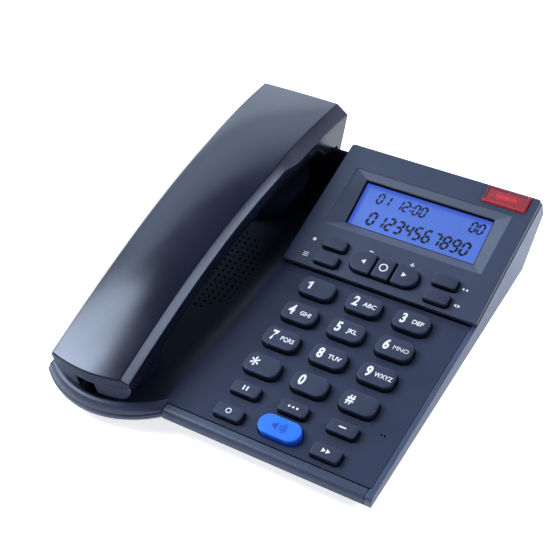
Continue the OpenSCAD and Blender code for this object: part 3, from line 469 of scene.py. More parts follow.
def bank_strip(name, x0, x1, v0, v1):
    """A stretch of the bank from x0 to the line x1(v), between v0 and v1.

    The front stretch starts at the lobe's arc where the arc isn't hidden by the front trim.
    """
    across, along = np.linspace(0, 1, 36), np.linspace(0, 1, 60)[:, None]
    v_mid = v0 + along * (v1 - v0)
    x = x0 + across * (x1(v_mid) - x0)
    start = np.where(x < lip_in, lobe_v - np.sqrt((lobe_r - 1.2) ** 2 - (x - trough_x) ** 2), v0)
    v = start + along * (v1 - start) if v0 < lobe_v else v_mid + 0 * x
    n = bank_surface(x, v) + hair
    return grids(name, *skin(on_trough(x, v, n), on_trough(x, v, n - wall)))


strip_left = trough_right - 3.2
step_v = panel_len * cos(radians(panel_tilt - rake)) + 0.3
lip_v = panel_front * cos(radians(panel_tilt - rake)) + (front_h - trough_h) * sin(radians(rake))
for name, border, v0, v1 in (("trough_bank_front", lambda v: bank_top(v) + bank_lap, lip_v, step_v),
                             ("trough_bank_rear", lambda v: plate_in + 0 * v, step_v - 0.2, rear_in)):
    show(bank_strip(name, strip_left, border, v0, v1), "base", "case_slate", trough_plastic_painted_shade)

# floor of the trough, with a round field of speaker holes and the hole of the hook plunger
grille_v, grille_r, grille_step, grille_hole = 88.5, 29.5, (3.4, 3.55), 0.78
hook_v, hook_hole = 144.124, 4.3
floor_arc = lobe_r - rim_w + 1
floor_left, floor_right = -deck_right + rim_w - 1, strip_left + 1.2
column, row = np.meshgrid(np.arange(13), np.arange(-9, 10))
grille = np.c_[floor_right - 1.7 - column.ravel() * grille_step[0], grille_v + row.ravel() * grille_step[1]]
grille = grille[np.hypot(grille[:, 0] - trough_x + 1, grille[:, 1] - grille_v) < grille_r]
arc_x = np.linspace(floor_left, floor_right, 40)
floor_front = np.c_[arc_x, lobe_v - np.sqrt(floor_arc ** 2 - (arc_x - trough_x) ** 2)]
floor_edges = np.vstack([floor_front, [[floor_right, rear_in], [floor_left, rear_in]]])
trough_floor = plate("trough_floor", [floor_edges, circle(trough_x, hook_v, hook_hole, 32),
                                      *[circle(x, v, grille_hole, 10) for x, v in grille]],
                     on_trough, -wall, 0, 0.2)
show(trough_floor, "base", "case_slate", trough_plastic_painted_shade, sharp=FLAT)


def rim_section():
    """Cross-section of the rim as distance inward and height.

    A small step, then a quarter ellipse up to the crest, then a fall like a cosine on the inside.
    """
    step, crest = 0.7, 4.6
    outer = np.linspace(0, pi / 2, 14)
    inner = np.linspace(0, pi, 18)[1:]
    d = np.concatenate([[0, 0, 0.15], step + (crest - step) * (1 - np.cos(outer)),
                        crest + (rim_w - crest) * inner / pi, [rim_w]])
    n = np.concatenate([[-wall, -0.6, -0.4], -0.35 + (rim_h + 0.35) * np.sin(outer),
                        rim_h * (1 + np.cos(inner)) / 2 + hair, [-wall]])
    return d, n


def rim_path(d):
    """The rim's line at a distance d inside its edge: straight along the left, then round the front.

    Its height fades by a parabola over the last part of the way round.
    """
    fade_start, fade = 0.62, 0.62
    radius = lobe_r - d
    turn0 = np.arcsin((-deck_right + d - trough_x) / radius)
    turn1 = np.arcsin((lip_in - trough_x) / radius)
    share = np.linspace(0, 1, 70)[:, None]
    turn = turn0 + share * (turn1 - turn0)
    corner_v = lobe_v - radius * np.cos(turn0)
    straight = np.linspace(0, 1, 30)[:-1, None]
    x = np.concatenate([-deck_right + d + 0 * straight, trough_x + radius * np.sin(turn)])
    v = np.concatenate([rear_in + straight * (corner_v - rear_in), lobe_v - radius * np.cos(turn)])
    loss = fade * np.clip((share - fade_start) / (1 - fade_start), 0, 1) ** 2
    return x, v, 1 - np.concatenate([0 * straight, loss])


d, n = rim_section()
x, v, height = rim_path(d[None, :])
# the rim's colour is lighter than the case plastic it is moulded in: painted light
rim_plastic_lit = moulded("rim_plastic_lit", paint(61, 68, 90), 0.4)
show(capped("cradle_rim", on_trough(x, v, np.where(n > 0, n * height, n))), "base", "case_slate", rim_plastic_lit)

rear_mid, rear_wide = (plate_in - deck_right) / 2, plate_in + deck_right
rear_edges = rounded(rear_mid, (rear_wall_h - wall) / 2, rear_wide, rear_wall_h + wall, 1.2)
rear_wall = plate("trough_rear_wall", [rear_edges], lambda x, y, z: on_trough(x, rear_v - wall / 2 + z, y),
                  -wall / 2, wall / 2, 0.6)
show(rear_wall, "base", "case_slate", trough_plastic_painted_shade, sharp=FLAT)


# Front trim: the rounded bar along the front edge of the keypad. It is a separate moulding of the same
# plastic, clipped to the tray.
lip_right, lip_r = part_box("front_trim")[1].x / MM, 3.2
band_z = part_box("front_trim")[0].z / MM


def trim_section():
    """Outline of the bar in the side view: up the front, round the edge, back along the panel and down."""
    tilt = radians(panel_tilt)
    turn = np.linspace(pi, pi / 2 + tilt, 14)
    centre_z = front_h - lip_r * (1 - sin(tilt)) / cos(tilt)
    back, top = front + lip_d * cos(tilt), front_h + lip_d * sin(tilt)
    y = np.r_[front + 0.3, front, front + lip_r + lip_r * np.cos(turn), back - 0.5, back, back]
    z = np.r_[band_z, band_z + 0.3, centre_z + lip_r * np.sin(turn), top - 0.5 * tan(tilt), top - 0.4, band_z]
    return np.c_[y, z]


def round_ends(start, stop, radius, count=6):
    """Places along a bar and how far its section shrinks there, by a quarter circle at each end."""
    turn = np.linspace(0, pi / 2, count)
    along, inset = radius * (1 - np.sin(turn[::-1])), radius * (1 - np.cos(turn[::-1]))
    return np.r_[start + along, stop - along[::-1]], np.r_[inset, inset[::-1]]


section = trim_section()
middle = section.mean(0)
x, shrink = round_ends(lip_left, lip_right, 0.9)
bar = middle + (section - middle)[None] * (1 - shrink / 3)[:, None, None]
bar = np.concatenate([np.broadcast_to(x[:, None, None], (*bar.shape[:2], 1)), bar], -1) * MM
# the bar's colour is lighter than the case plastic it is made of: painted light for the dim light at the
# front
trim_plastic_lit = moulded("trim_plastic_lit", paint(63, 71, 94), 0.4)
show(capped("front_trim_bar", bar), "base", "case_slate", trim_plastic_lit, "front_trim")


# Display panel: a raised plate of the same plastic above the keypad, with a sunk frame round the display,
# holes for the function keys and the message lamp, and a side wall that goes down to the trough.
plate_step, plate_tilt, plate_len = 2.9, 23.8, 75.2
plate_y, plate_z = on_panel(0, panel_len, plate_step)[1:] / MM
on_plate = tilted(plate_y, plate_z, plate_tilt)
plate_right = deck_right - 0.3
bezel_w, bezel_h, bezel_v = 84.6, 35.9, 25.9
bezel_mid = bezel_v + bezel_h / 2
lcd_w, lcd_h, lcd_deep, lcd_lean = 70.4, 25.6, 3.4, 7.4
lcd_y, lcd_z = on_plate(0, bezel_mid + 1.2, -lcd_deep)[1:] / MM
lcd_slope = tilted(lcd_y, lcd_z, plate_tilt + lcd_lean)
lamp_w, lamp_d = 22.3, 9.4
lamp_x, lamp_v = deck_right - 16.2, plate_len - 0.9 - lamp_d / 2

# places of the keys in the plate: two at each side, and the navigation keys in one long hole
upper_row, lower_row = 15.2, 5.8
plate_key_x, plate_key_out, plate_key_size = deck_mid - 0.2, 29.7, (12, 6.4, 1.4)
plate_keys = {}
for name, side, v in (("key_record", -1, upper_row), ("key_memo", -1, lower_row),
                      ("key_flash", 1, upper_row), ("key_change", 1, lower_row)):
    plate_keys[name] = (plate_key_x + side * plate_key_out, v, *plate_key_size)
nav_x, nav_v, nav_w, nav_d = deck_mid - 0.9, 10.7, 36, 11.4


def on_lcd(x, v, n):
    """Frame of the display: x and v from its middle, n along the normal of the leaning glass."""
    return lcd_slope(deck_mid + x, v, n)


plate_edges = rounded((deck_left + plate_right) / 2, plate_len / 2, plate_right - deck_left, plate_len, 1.5)
plate_holes = [rounded(deck_mid, bezel_mid, bezel_w, bezel_h, 0.8),
               key_hole(nav_x, nav_v, nav_w, nav_d, nav_d / 2 - hair),
               *[key_hole(*size) for size in plate_keys.values()],
               rounded(lamp_x, lamp_v, lamp_w + 0.2, lamp_d + 0.2, 0.8)]
# the plate's colour is lighter than the case plastic it is made of: painted light, as the steeper plate
# catches less of the lamps
plate_plastic_lit = moulded("plate_plastic_lit", paint(57, 65, 88), 0.46, reflect=0.4)
show(plate("display_plate", [plate_edges, *plate_holes], on_plate, -plate_step, 0, 0.4),
     "base", "case_slate", plate_plastic_lit, "display_panel", sharp=FLAT)


def sunk_frame():
    """Ring between the plate and the glass: loops down the slope from the plate, over the edge and back."""
    outer = rounded(0, 0, bezel_w - hair, bezel_h - hair, 0.8, 5).T
    loops = [on_plate(deck_mid + outer[0], bezel_mid + outer[1], n) for n in (0.5 - plate_step, -0.35)]
    for spread, n in ((1.0, 0.05), (0.4, 0.0), (0.1, -0.12), (0, -0.4), (0, -2.38), (5, -2.38)):
        x, v = rounded(0, 0, lcd_w + spread, lcd_h + spread, 0.5, 5).T
        loops.append(on_lcd(x, v, n))
    return looped(np.stack([*loops, loops[0]]))


# the frame's colour is lighter than the plate's plastic: painted light
bezel_plastic_lit = moulded("bezel_plastic_lit", paint(72, 80, 100), 0.4)
show(grids("display_frame", sunk_frame()), "base", "case_slate", bezel_plastic_lit)
# a black ring round the glass: painted shade of the frame's inner wall
frame_shade_black = moulded("frame_shade_black", paint(8, 9, 13), 0.7, reflect=0.1)
frame_shade_edges = [rounded(0, 0, lcd_w - inset, lcd_h - inset, 0.5) for inset in (0.04, 0.9)]
frame_shade = plate("display_frame_shade", frame_shade_edges, on_lcd, -2.4, -0.5, 0.1)
show(frame_shade, "base", "case_slate", frame_shade_black, sharp=FLAT)

# side wall between the trough and the plate: its top follows the plate's slope over the trough
deck_y, deck_z = plate_y - front, plate_z - trough_h
plate_n0 = deck_z * cos(radians(rake)) - deck_y * sin(radians(rake))
plate_v0 = deck_y * cos(radians(rake)) + deck_z * sin(radians(rake))
wall_v = np.array([[plate_v0 + 1], [rear_v - wall - 0.7]])
wall_top = plate_n0 - 1 + (wall_v - plate_v0) * tan(radians(plate_tilt - rake))
wall_n = np.concatenate([0 * wall_v + 3.3, wall_top], 1)
wall_sides = [on_trough(x, wall_v, wall_n) for x in (deck_left, deck_left + wall)]
show(grids("display_side_wall", *skin(*wall_sides)), "base", "case_slate", trough_plastic_painted_shade)


# Keys: moulded caps on a rubber mat, each with a flange that keeps it in the panel and a soft round edge.
# Their signs are printed in white: digits and letter groups, and plain marks on the other keys.
flange_w, flange_low, flange_top = 1.2, -3.9, -2.7


def key_cap(name, outline, place, up, dome, soft, reach):
    """Closed cap in rings: out under the flange, up the stem, round the edge and in over the top.

    The edge is a quarter circle. outline(inset) is the plan drawn in by inset, as far in as reach, and
    dome(x, v) the height of the crowned top.
    """
    turn = np.linspace(0, pi / 2, 6)[1:]
    inwards = np.linspace(soft, reach, 5)[1:]
    inset = np.r_[-flange_w, -flange_w, 0, 0, soft * (1 - np.cos(turn)), inwards]
    n = np.r_[flange_low, flange_top, flange_top, up - soft, up - soft + soft * np.sin(turn),
              up + 0 * inwards]
    rings = np.stack([outline(i) for i in inset])
    x, v = rings[..., 0], rings[..., 1]
    height = n[:, None] + np.where(n > up - soft, 1, 0)[:, None] * dome(x, v)
    return capped(name, place(x, v, height))


def pillow(x, v, width, depth, crown):
    """Crowned top of a key: a parabola across times a parabola along, nothing at the edges."""
    return lambda a, b: crown * (1 - (2 * (a - x) / width) ** 2) * (1 - (2 * (b - v) / depth) ** 2)


def plan(x, v, width, depth, radius):
    """A key's outline as a function of how far it is drawn in."""
    return lambda i: rounded(x, v, width - 2 * i, depth - 2 * i, max(radius - i, 0.3))


def nav_plan(side):
    """Outline of an outer navigation key: a half circle at its outer end, square towards the middle key."""
    inner, outer, r = 5.8, nav_w / 2, nav_d / 2 - hair

    def outline(i):
        x0, x1, reach = inner + max(i, 0), outer - i, max(r - i, 0.4)
        corner = max(0.6 - max(i, 0), 0.2)
        radii = (reach, corner, corner, reach) if side > 0 else (corner, reach, reach, corner)
        return rounded(nav_x + side * (x0 + x1) / 2, nav_v, x1 - x0, nav_d - 2 * i, radii)
    return outline


def key_plastic_shaded_skirt(name, colour, skirt, place, low, high):
    """Key plastic whose colour turns from a darker skirt, painted shade of the gap round the key, to the top
    between two heights over the panel.
    """
    material = moulded(name, colour, 0.45, reflect=0.4)
    tree, shader, coords = nodes_of(material)
    tint = shader.inputs["Base Color"]
    normal = (place(0, 0, 1) - place(0, 0, 0)) / MM
    level = float(place(0, 0, 0) @ normal)
    top = ramp(tree, measured(tree, coords, tuple(normal)), level + low * MM, level + high * MM)
    tree.links.new(blended(tree, top, skirt, tint.links[0].from_socket), tint)
    return material


# the darker skirt colours are painted shade in the gaps round the keys
key_slate, key_skirt_shade = paint(46, 53, 76), paint(19, 22, 34)
key_plastic = key_plastic_shaded_skirt("key_plastic", key_slate, key_skirt_shade, on_panel, 1.9, 2.7)
plate_key_plastic = key_plastic_shaded_skirt("plate_key_plastic", key_slate, key_skirt_shade, on_plate, 1.4, 2.2)
key_blue = key_plastic_shaded_skirt("key_blue", paint(40, 124, 252), paint(20, 78, 200), on_panel, 1.9, 2.9)
digit_up, small_up, plate_key_up = 3.4, 3.0, 2.8
cap_crown, cap_soft, cap_rest = 0.25, 0.55, 0.6
key_place, key_up, key_dome = {}, {}, {}
for name, size in {**panel_keys, **plate_keys}.items():
    place, up, plastic, slot = on_panel, digit_up, key_plastic, "key_slate"
    if name == "key_speaker":
        plastic, slot = key_blue, "key_blue"
    elif name in plate_keys:
        place, up, plastic = on_plate, plate_key_up, plate_key_plastic
    elif size[2:] == small_size:
        up = small_up
    key_place[name], key_up[name], key_dome[name] = place, up, pillow(*size[:4], cap_crown)
    cap = key_cap(name + "_cap", plan(*size), place, up, key_dome[name], cap_soft, size[3] / 2 - cap_rest)
    show(cap, name, slot, plastic, name)
nav_ok_w, nav_crown, nav_soft, nav_reach = 8.9, 0.3, 0.5, 3.4
for name, outline in (("key_nav_left", nav_plan(-1)), ("key_nav_right", nav_plan(1)),
                      ("key_nav_ok", plan(nav_x, nav_v, nav_ok_w, nav_d, 0.6))):
    key_place[name], key_up[name] = on_plate, plate_key_up
    key_dome[name] = pillow(nav_x, nav_v, nav_w, nav_d, nav_crown)
    cap = key_cap(name + "_cap", outline, on_plate, plate_key_up, key_dome[name], nav_soft, nav_reach)
    show(cap, name, "key_slate", plate_key_plastic, name)


def ink(name, colour):
    """Printed ink: an even colour, a little broken up at the grain of the plastic under it."""
    return moulded(name, colour, 0.5, grain=0.12, depth=0.004)


white_ink = ink("white_ink", paint(236, 238, 242))
blue_ink = ink("blue_ink", paint(20, 66, 184))


def over(place, up, dome=lambda x, v: 0):
    """A frame whose heights count from the top of a key or panel."""
    return lambda x, v, n: place(x, v, n + up + dome(x, v))


def lettering(name, words, size, narrow, x, v, place, weight):
    """Thin raised letters: a flat text made a mesh, drawn in across and laid on the surface; sizes in mm."""
    curve = bpy.data.curves.new(name, "FONT")
    curve.body, curve.size, curve.offset = words, size, weight
    curve.align_x, curve.align_y = "CENTER", "CENTER"
    curve.extrude, curve.resolution_u = 0.015, 3
    return laid(name, curve, lambda a, b, c: place(a * narrow + x, b + v, c + 0.02))


print_low, print_high = 0.0, 0.035
LETTERS = dict(zip("23456789", "ABC DEF GHI JKL MNO PQRS TUV WXYZ".split()))
SIGNS = {"key_star": "*", "key_hash": "#"}
ONE = np.array([[-0.1, -2.35], [1.15, -2.35], [1.15, 2.35], [0.15, 2.35],
                [-1.25, 1.25], [-1.25, 0.35], [-0.1, 0.95]])

# each sign's size, narrowing, shift along the panel and weight; an M is printed at its plain weight
sign_print, letter_size, letter_weight = (7.8, 0.78, 0, 0.28), 3.4, 0.08
SIGN_PRINTS = {"*": (11.5, 0.9, -2.0, 0.14), "#": (7.2, 0.85, 0, 0.2)}
sign_x, letter_x, letter_v = -4.0, 3.4, -0.2
for name in [name for row in DIGITS for name in row]:
    x, v = panel_keys[name][:2]
    sign = SIGNS.get(name, name[-1])
    top = over(on_panel, key_up[name], key_dome[name])
    if sign == "1":
        digit = plate(name + "_digit", [ONE + [x + sign_x, v]], top, print_low, print_high, 0)
    else:
        size, narrow, shift, weight = SIGN_PRINTS.get(sign, sign_print)
        digit = lettering(name + "_digit", sign, size, narrow, x + sign_x, v + shift, top, weight)
    show(digit, name, "key_slate", white_ink, sharp=FLAT)
    if sign in LETTERS:
        group = LETTERS[sign]
        narrow, weight = 1 if len(group) == 3 else 0.86, 0 if "M" in group else letter_weight
        letters = lettering(name + "_letters", group, letter_size, narrow, x + letter_x, v + letter_v,
                            top, weight)
        show(letters, name, "key_slate", white_ink, sharp=FLAT)


def bar_mark(x, y, width, height):
    """Corners of an upright rectangle."""
    return np.array([[-1, -1], [1, -1], [1, 1], [-1, 1]]) * [width / 2, height / 2] + [x, y]


def arrow_mark(x, y, width, height):
    """Corners of a triangle that points along x; a negative width turns it round."""
    return np.array([[-1, -1], [1, 0], [-1, 1]]) * [width / 2, height / 2] + [x, y]


def arc_mark(x, y, radius, thick, half_turn):
    """Outline of a thick arc open to the left, out along one side and back along the other."""
    turn = np.linspace(-half_turn, half_turn, 12)
    arc = np.c_[np.cos(turn), np.sin(turn)]
    return np.r_[arc * (radius + thick / 2), arc[::-1] * (radius - thick / 2)] + [x, y]


HORN = np.array([[-3.6, -0.8], [-2.6, -0.8], [-1.0, -2.1], [-1.0, 2.1], [-2.6, 0.8], [-3.6, 0.8]])
MARKS = {"key_hold": [bar_mark(-0.9, 0, 0.8, 2.6), bar_mark(0.9, 0, 0.8, 2.6)],
         "key_conference": [circle(x, 0, 0.62) for x in (-2.1, 0, 2.1)],
         "key_release": [bar_mark(0, 0, 3.6, 0.8)],
         "key_mute": [circle(0, 0, 1.45, 28), circle(0, 0, 0.95, 28)],
         "key_redial": [arrow_mark(x, 0, 1.9, 2.4) for x in (-1.1, 1.1)],
         "key_nav_left": [arrow_mark(0, 0, -2.2, 2.6)], "key_nav_right": [arrow_mark(0, 0, 2.2, 2.6)],
         "key_nav_ok": [circle(0, 0, 2.2, 32), circle(0, 0, 1.6, 32)],
         "key_speaker": [HORN, *[arc_mark(-0.8, 0, r, 0.55, 0.75) for r in (1.4, 2.7, 4.0)]]}
nav_left, nav_right = nav_x - 11, nav_x + 11
mark_at = {name: size[:2] for name, size in panel_keys.items()}
mark_at.update(key_nav_left=(nav_left, nav_v), key_nav_ok=(nav_x, nav_v), key_nav_right=(nav_right, nav_v))
for name, loops in MARKS.items():
    top = over(key_place[name], key_up[name], key_dome[name])
    mark = plate(name + "_mark", [loop + mark_at[name] for loop in loops], top, print_low, print_high, 0)
    show(mark, name, "key_slate", blue_ink if name == "key_speaker" else white_ink, sharp=FLAT)

# marks printed on the plate beside its keys: less and more over the navigation keys, and four plain signs
nav_marks_v, left_marks, right_marks = 18.6, deck_left + 10, deck_right - 12.5
plus_bars = [bar_mark(0, 0, 2.2, 0.5), bar_mark(0, 0.8, 0.5, 0.9), bar_mark(0, -0.8, 0.5, 0.9)]
change_arrows = [arrow_mark(-1, 0, -1.4, 1.9), arrow_mark(1, 0, 1.4, 1.9)]
plate_marks = {"less_mark": (nav_left, nav_marks_v, [bar_mark(0, 0, 2.2, 0.5)]),
               "more_mark": (nav_right, nav_marks_v, plus_bars),
               "record_mark": (left_marks, upper_row, [circle(0, 0, 0.95, 24)]),
               "memo_mark": (left_marks, lower_row, [bar_mark(0, y, 2.8, 0.42) for y in (-0.95, 0, 0.95)]),
               "flash_mark": (right_marks, upper_row, [circle(x, 0, 0.55, 18) for x in (-0.9, 0.9)]),
               "change_mark": (right_marks, lower_row, change_arrows)}
for name, (x, v, loops) in plate_marks.items():
    mark = plate(name, [loop + [x, v] for loop in loops], on_plate, print_low, print_high, 0)
    show(mark, "base", "case_slate", white_ink, sharp=FLAT)


# Display: a lit liquid-crystal panel with slanted seven-stroke figures, behind a clear moulded window.
# Both are held under the sunk frame, with a black ring round the glass that is painted shade of the frame's
# inner wall.
def lit_panel(name, colour, shade):
    """Back-lit film: glows blue, a little unevenly, with painted shade under the frame's upper and left
    edges.
    """
    material = moulded(name, paint(8, 12, 30), 0.3, grain=0.6, depth=0.002)
    tree, shader, coords = nodes_of(material)
    light = blended(tree, noise(tree, coords, 28, 1), shaded(colour, 0.93), shaded(colour, 1.07))
    place = add_node(tree, "SeparateXYZ", {0: coords}).outputs
    left, _, top = on_lcd(-lcd_w / 2, lcd_h / 2, lcd_face)
    # painted shade of the frame along the upper and left edges
    under_top = ramp(tree, place["Z"], top - 1.6 * MM, top - 0.3 * MM, soft=True)
    at_left = ramp(tree, place["X"], left + 2.6 * MM, left + 0.6 * MM, soft=True)
    edge = maths(tree, "MAXIMUM", under_top, at_left)
    tree.links.new(blended(tree, edge, light, shade), shader.inputs["Emission Color"])
    shader.inputs["Emission Strength"].default_value = 1
    return material


def clear(name, colour, roughness):
    """Clear moulded sheet: light passes, with a trace of waviness in its surface."""
    material = bpy.data.materials.new(name)
    tree, shader, coords = nodes_of(material)
    bumped(tree, shader, noise(tree, coords, 120, 1), 0.1, 0.01)
    settings = {"Base Color": colour, "Roughness": roughness, "Transmission Weight": 1, "IOR": 1.3}
    for key, value in settings.items():
        shader.inputs[key].default_value = value
    return material


lcd_low, lcd_face, glass_low, glass_top = -6.2, -4, -3.6, -2.42
lcd_edge, glass_edge = rounded(0, 0, lcd_w + 3, lcd_h + 3, 0.6), rounded(0, 0, lcd_w + 3.8, lcd_h + 3.8, 0.6)
lcd_blue = lit_panel("lcd_blue", paint(86, 122, 220), paint(66, 95, 206))
show(plate("lcd_sheet", [lcd_edge], on_lcd, lcd_low, lcd_face, 0.15),
     "base", "lcd", lcd_blue, "lcd_panel", sharp=FLAT)
window_clear = clear("window_clear", (1, 1, 1, 1), 0.03)
show(plate("display_glass", [glass_edge], on_lcd, glass_low, glass_top, 0.15),
     "base", "window", window_clear, "display_window", sharp=FLAT)

STROKES = {"0": "abcdef", "1": "bc", "2": "abdeg", "3": "abcdg", "4": "bcfg", "5": "acdfg", "6": "acdefg",
           "7": "abc", "8": "abcdefg", "9": "abcdfg"}


def figure(sign, x, v, width, height, thick):
    """Strokes of one slanted figure: each a bar with pointed ends, level or upright between its corners."""
    corner = {"tl": (0, 1), "tr": (1, 1), "ml": (0, 0.5), "mr": (1, 0.5), "bl": (0, 0), "br": (1, 0)}
    ends = {"a": "tl tr", "b": "mr tr", "c": "br mr", "d": "bl br", "e": "bl ml", "f": "ml tl", "g": "ml mr"}
    loops = []
    for stroke in STROKES[sign]:
        p, q = (np.array(corner[k]) * [width, height] for k in ends[stroke].split())
        along = (q - p) / np.linalg.norm(q - p)
        side = np.array([-along[1], along[0]]) * thick / 2
        p, q = p + along * 0.09 * thick, q - along * 0.09 * thick
        body = along * thick / 2
        loop = np.array([p, p + body + side, q - body + side, q, q - body - side, p + body - side])
        loops.append(loop @ [[1, 0], [0.16, 1]] + [x, v])
    return loops


lcd_ink = ink("lcd_ink", paint(12, 16, 34))
small_figure, large_figure = (2.5, 5.4, 1.0), (3.2, 6.7, 1.3)
small_step, large_step = 3.9, 5.1
figures_low, figures_high = lcd_face + 0.01, lcd_face + 0.1
lines = [("01", -26.8, 4.0, small_figure, small_step), ("12", -16.2, 4.0, small_figure, small_step),
         ("00", -6.8, 4.0, small_figure, small_step), ("00", 24.0, 4.6, small_figure, small_step),
         ("01234567890", -26.6, -8.4, large_figure, large_step)]
shown = {}
for count, (signs, x, v, size, step) in enumerate(lines):
    loops = [loop for k, sign in enumerate(signs) for loop in figure(sign, x + k * step, v, *size)]
    shown["lcd_figures_%d" % count] = loops
shown["lcd_colon"] = [circle(-8.0 + shift, v, 0.5) for shift, v in ((0, 5.4), (0.3, 7.5))]
for name, loops in shown.items():
    show(plate(name, loops, on_lcd, figures_low, figures_high, 0), "base", "lcd", lcd_ink, sharp=FLAT)


# Message lamp: a clear red lens pressed into the plate's corner, with a raised rim and a lattice of small
# facets inside that spreads the light of the lamp under it.
def red_lens(name, bright, deep):
    """Clear red plastic with a lattice of cells.

    Its colour also glows a little, as painted light, brightest over the lamp in the middle; the bright lower
    and right edges are painted highlights. It is dim on its rim.
    """
    material = bpy.data.materials.new(name)
    tree, shader, coords = nodes_of(material)
    flat = add_node(tree, "Mapping", {"Vector": coords, "Location": on_plate(lamp_x, lamp_v, 0).tolist(),
                                      "Rotation": (radians(plate_tilt), 0, 0), "Scale": (MM, MM, MM)},
                    vector_type="TEXTURE").outputs[0]
    turned = add_node(tree, "Mapping", {"Vector": flat, "Rotation": (0, 0, radians(45))}).outputs[0]
    cells = add_node(tree, "TexVoronoi", {"Vector": turned, "Scale": 0.9, "Randomness": 0},
                     voronoi_dimensions="2D")
    lattice = ramp(tree, cells.outputs["Distance"], 0.2, 0.6, 0.75, 0)
    axes = add_node(tree, "SeparateXYZ", {0: flat}).outputs
    across, along = maths(tree, "ABSOLUTE", axes["X"]), maths(tree, "ABSOLUTE", axes["Y"])

    def past_box(half_w, half_d):
        """How far a place is outside a box round the middle, and less than nothing inside it."""
        x, y = maths(tree, "SUBTRACT", across, half_w), maths(tree, "SUBTRACT", along, half_d)
        return maths(tree, "MAXIMUM", x, y)

    lamp = ramp(tree, past_box(5.6, 1.3), 0.5, -0.5)
    rim = ramp(tree, past_box(lamp_w / 2 - 1.2, lamp_d / 2 - 1.2), -0.15, 0.15)
    lit = blended(tree, rim, maths(tree, "MAXIMUM", lamp, lattice), (0.06, 0.06, 0.06, 1))
    # painted highlights along the lens's lower and right edges
    low = ramp(tree, axes["Y"], 0.8 - lamp_d / 2, 0.4 - lamp_d / 2)
    side = ramp(tree, axes["X"], lamp_w / 2 - 0.6, lamp_w / 2 - 0.3)
    lit = maths(tree, "MAXIMUM", lit, maths(tree, "MAXIMUM", low, side))
    tint = blended(tree, lit, deep, bright)
    bumped(tree, shader, lattice, 0.5, 0.2)
    # the lens's glow is painted light
    for key in ("Base Color", "Emission Color"):
        tree.links.new(tint, shader.inputs[key])
    shader.inputs["Emission Strength"].default_value = 0.16
    shader.inputs["Roughness"].default_value = 0.14
    return material


# the lens in rings, as distance in from its edge and height: up its side, over the rim and in over the field
lens_rings = [(0, -2.88), (0, 0.75), (0.12, 1.0), (0.4, 1.1), (0.9, 1.1), (1.15, 1.0),
              (1.3, 0.65), (2.6, 0.7), (4.2, 0.75)]
lens = np.stack([on_plate(*rounded(lamp_x, lamp_v, lamp_w - 2 * i, lamp_d - 2 * i, max(0.8 - i, 0.3)).T, n)
                 for i, n in lens_rings])
lamp_red = red_lens("lamp_red", paint(198, 46, 60), paint(96, 46, 58))
show(capped("message_lens", lens), "base", "lamp_red", lamp_red, "message_lamp")


# Handset: two glossy navy shells, the upper one with a bevelled edge and a broad shallow crown, the lower
# one round underneath, with the ear cup, the mouth cup and the notch of its socket.
handset_len, handset_half, handset_pitch = 194.973, 22.7, 4.3
handset_v, handset_n, back_rise, left_ear = -4.5, 20.5, 10.9, 4.8
behind_wall = 180.75
handset_y, handset_z = on_trough(0, handset_v, handset_n)[1:] / MM
handset_slope = tilted(handset_y, handset_z, rake + handset_pitch)


def on_handset(x, u, w):
    """Frame of the handset: x from its middle, u from the mouth end, w up from the cord of its back."""
    return handset_slope(trough_x + x, u, w)


def soft_step(t):
    """Smooth rise from 0 to 1."""
    t = np.clip(t, 0, 1)
    return t * t * (3 - 2 * t)


def at_ear(s):
    """How far the right side has stepped out at the ear end, from 0 to 1, by share of length."""
    return soft_step((s - 0.685) / 0.075)


def handset_lines(s, left=False):
    """Half width, bevel's width and depth, back line, crown, parting line and underside, by share of length.

    The back is a parabola, fuller towards the ear. The right side widens as a parabola and steps out at the
    ear, and the left one only widens at the ear.
    """
    ear = at_ear(s)
    side = np.clip((s - 0.68) / 0.32, 0, 1) ** 1.4 if left else ear
    slant = 2.7 + 0.7 * soft_step((s - 0.1) / 0.5)
    if left:
        wide, bevel, deep = left_ear * side, slant, slant
    else:
        wide = 9.6 * np.minimum(s, 0.66) ** 2 - 1 + 1.62 * side
        bevel, deep = 3.3, 3.6 - 0.4 * soft_step((s - 0.1) / 0.5)
    back = 4 * back_rise * s * (1 - s) * (1 + 0.63 * (s - 0.5))
    crown = 0.78 + 1.4 * soft_step(s / 0.3) - 1.9 * soft_step((s - 0.75) / 0.25)
    thick = 15 + 2 * soft_step(s / 0.12) + 3 * soft_step((s - 0.7) / 0.12)
    parting = back - slant - 2.1 - 0.8 * ear
    return handset_half + wide, bevel + 1.9 * side, deep + 2.5 * side, back, crown, parting, back - thick


def handset_stations(*extra):
    """Places along the handset as shares of its length, closer at its round ends, and the inset there."""
    u, inset = round_ends(0, handset_len, 1.0)
    middle = np.sort(np.r_[np.linspace(1.4, handset_len - 1.4, 110), list(extra)])
    return np.r_[u[:6], middle, u[6:]] / handset_len, np.r_[inset[:6], 0 * middle, inset[6:]]


def nose(s, q):
    """Distance along the handset, with the mouth end bowed forward in plan by a parabola."""
    return s * handset_len - 3.5 * (1 - q * q) * (1 - soft_step(s / 0.2))


def bend(a, corner, b, cut=0.35, count=5):
    """Corner rounded by a parabola between points a cut back along its two sides."""
    def back(p):
        way = p - corner
        return corner + way * np.minimum(cut / np.linalg.norm(way, axis=-1, keepdims=True), 0.45)
    t = np.linspace(0, 1, count)[:, None, None]
    return (1 - t) ** 2 * back(a) + 2 * t * (1 - t) * corner + t ** 2 * back(b)


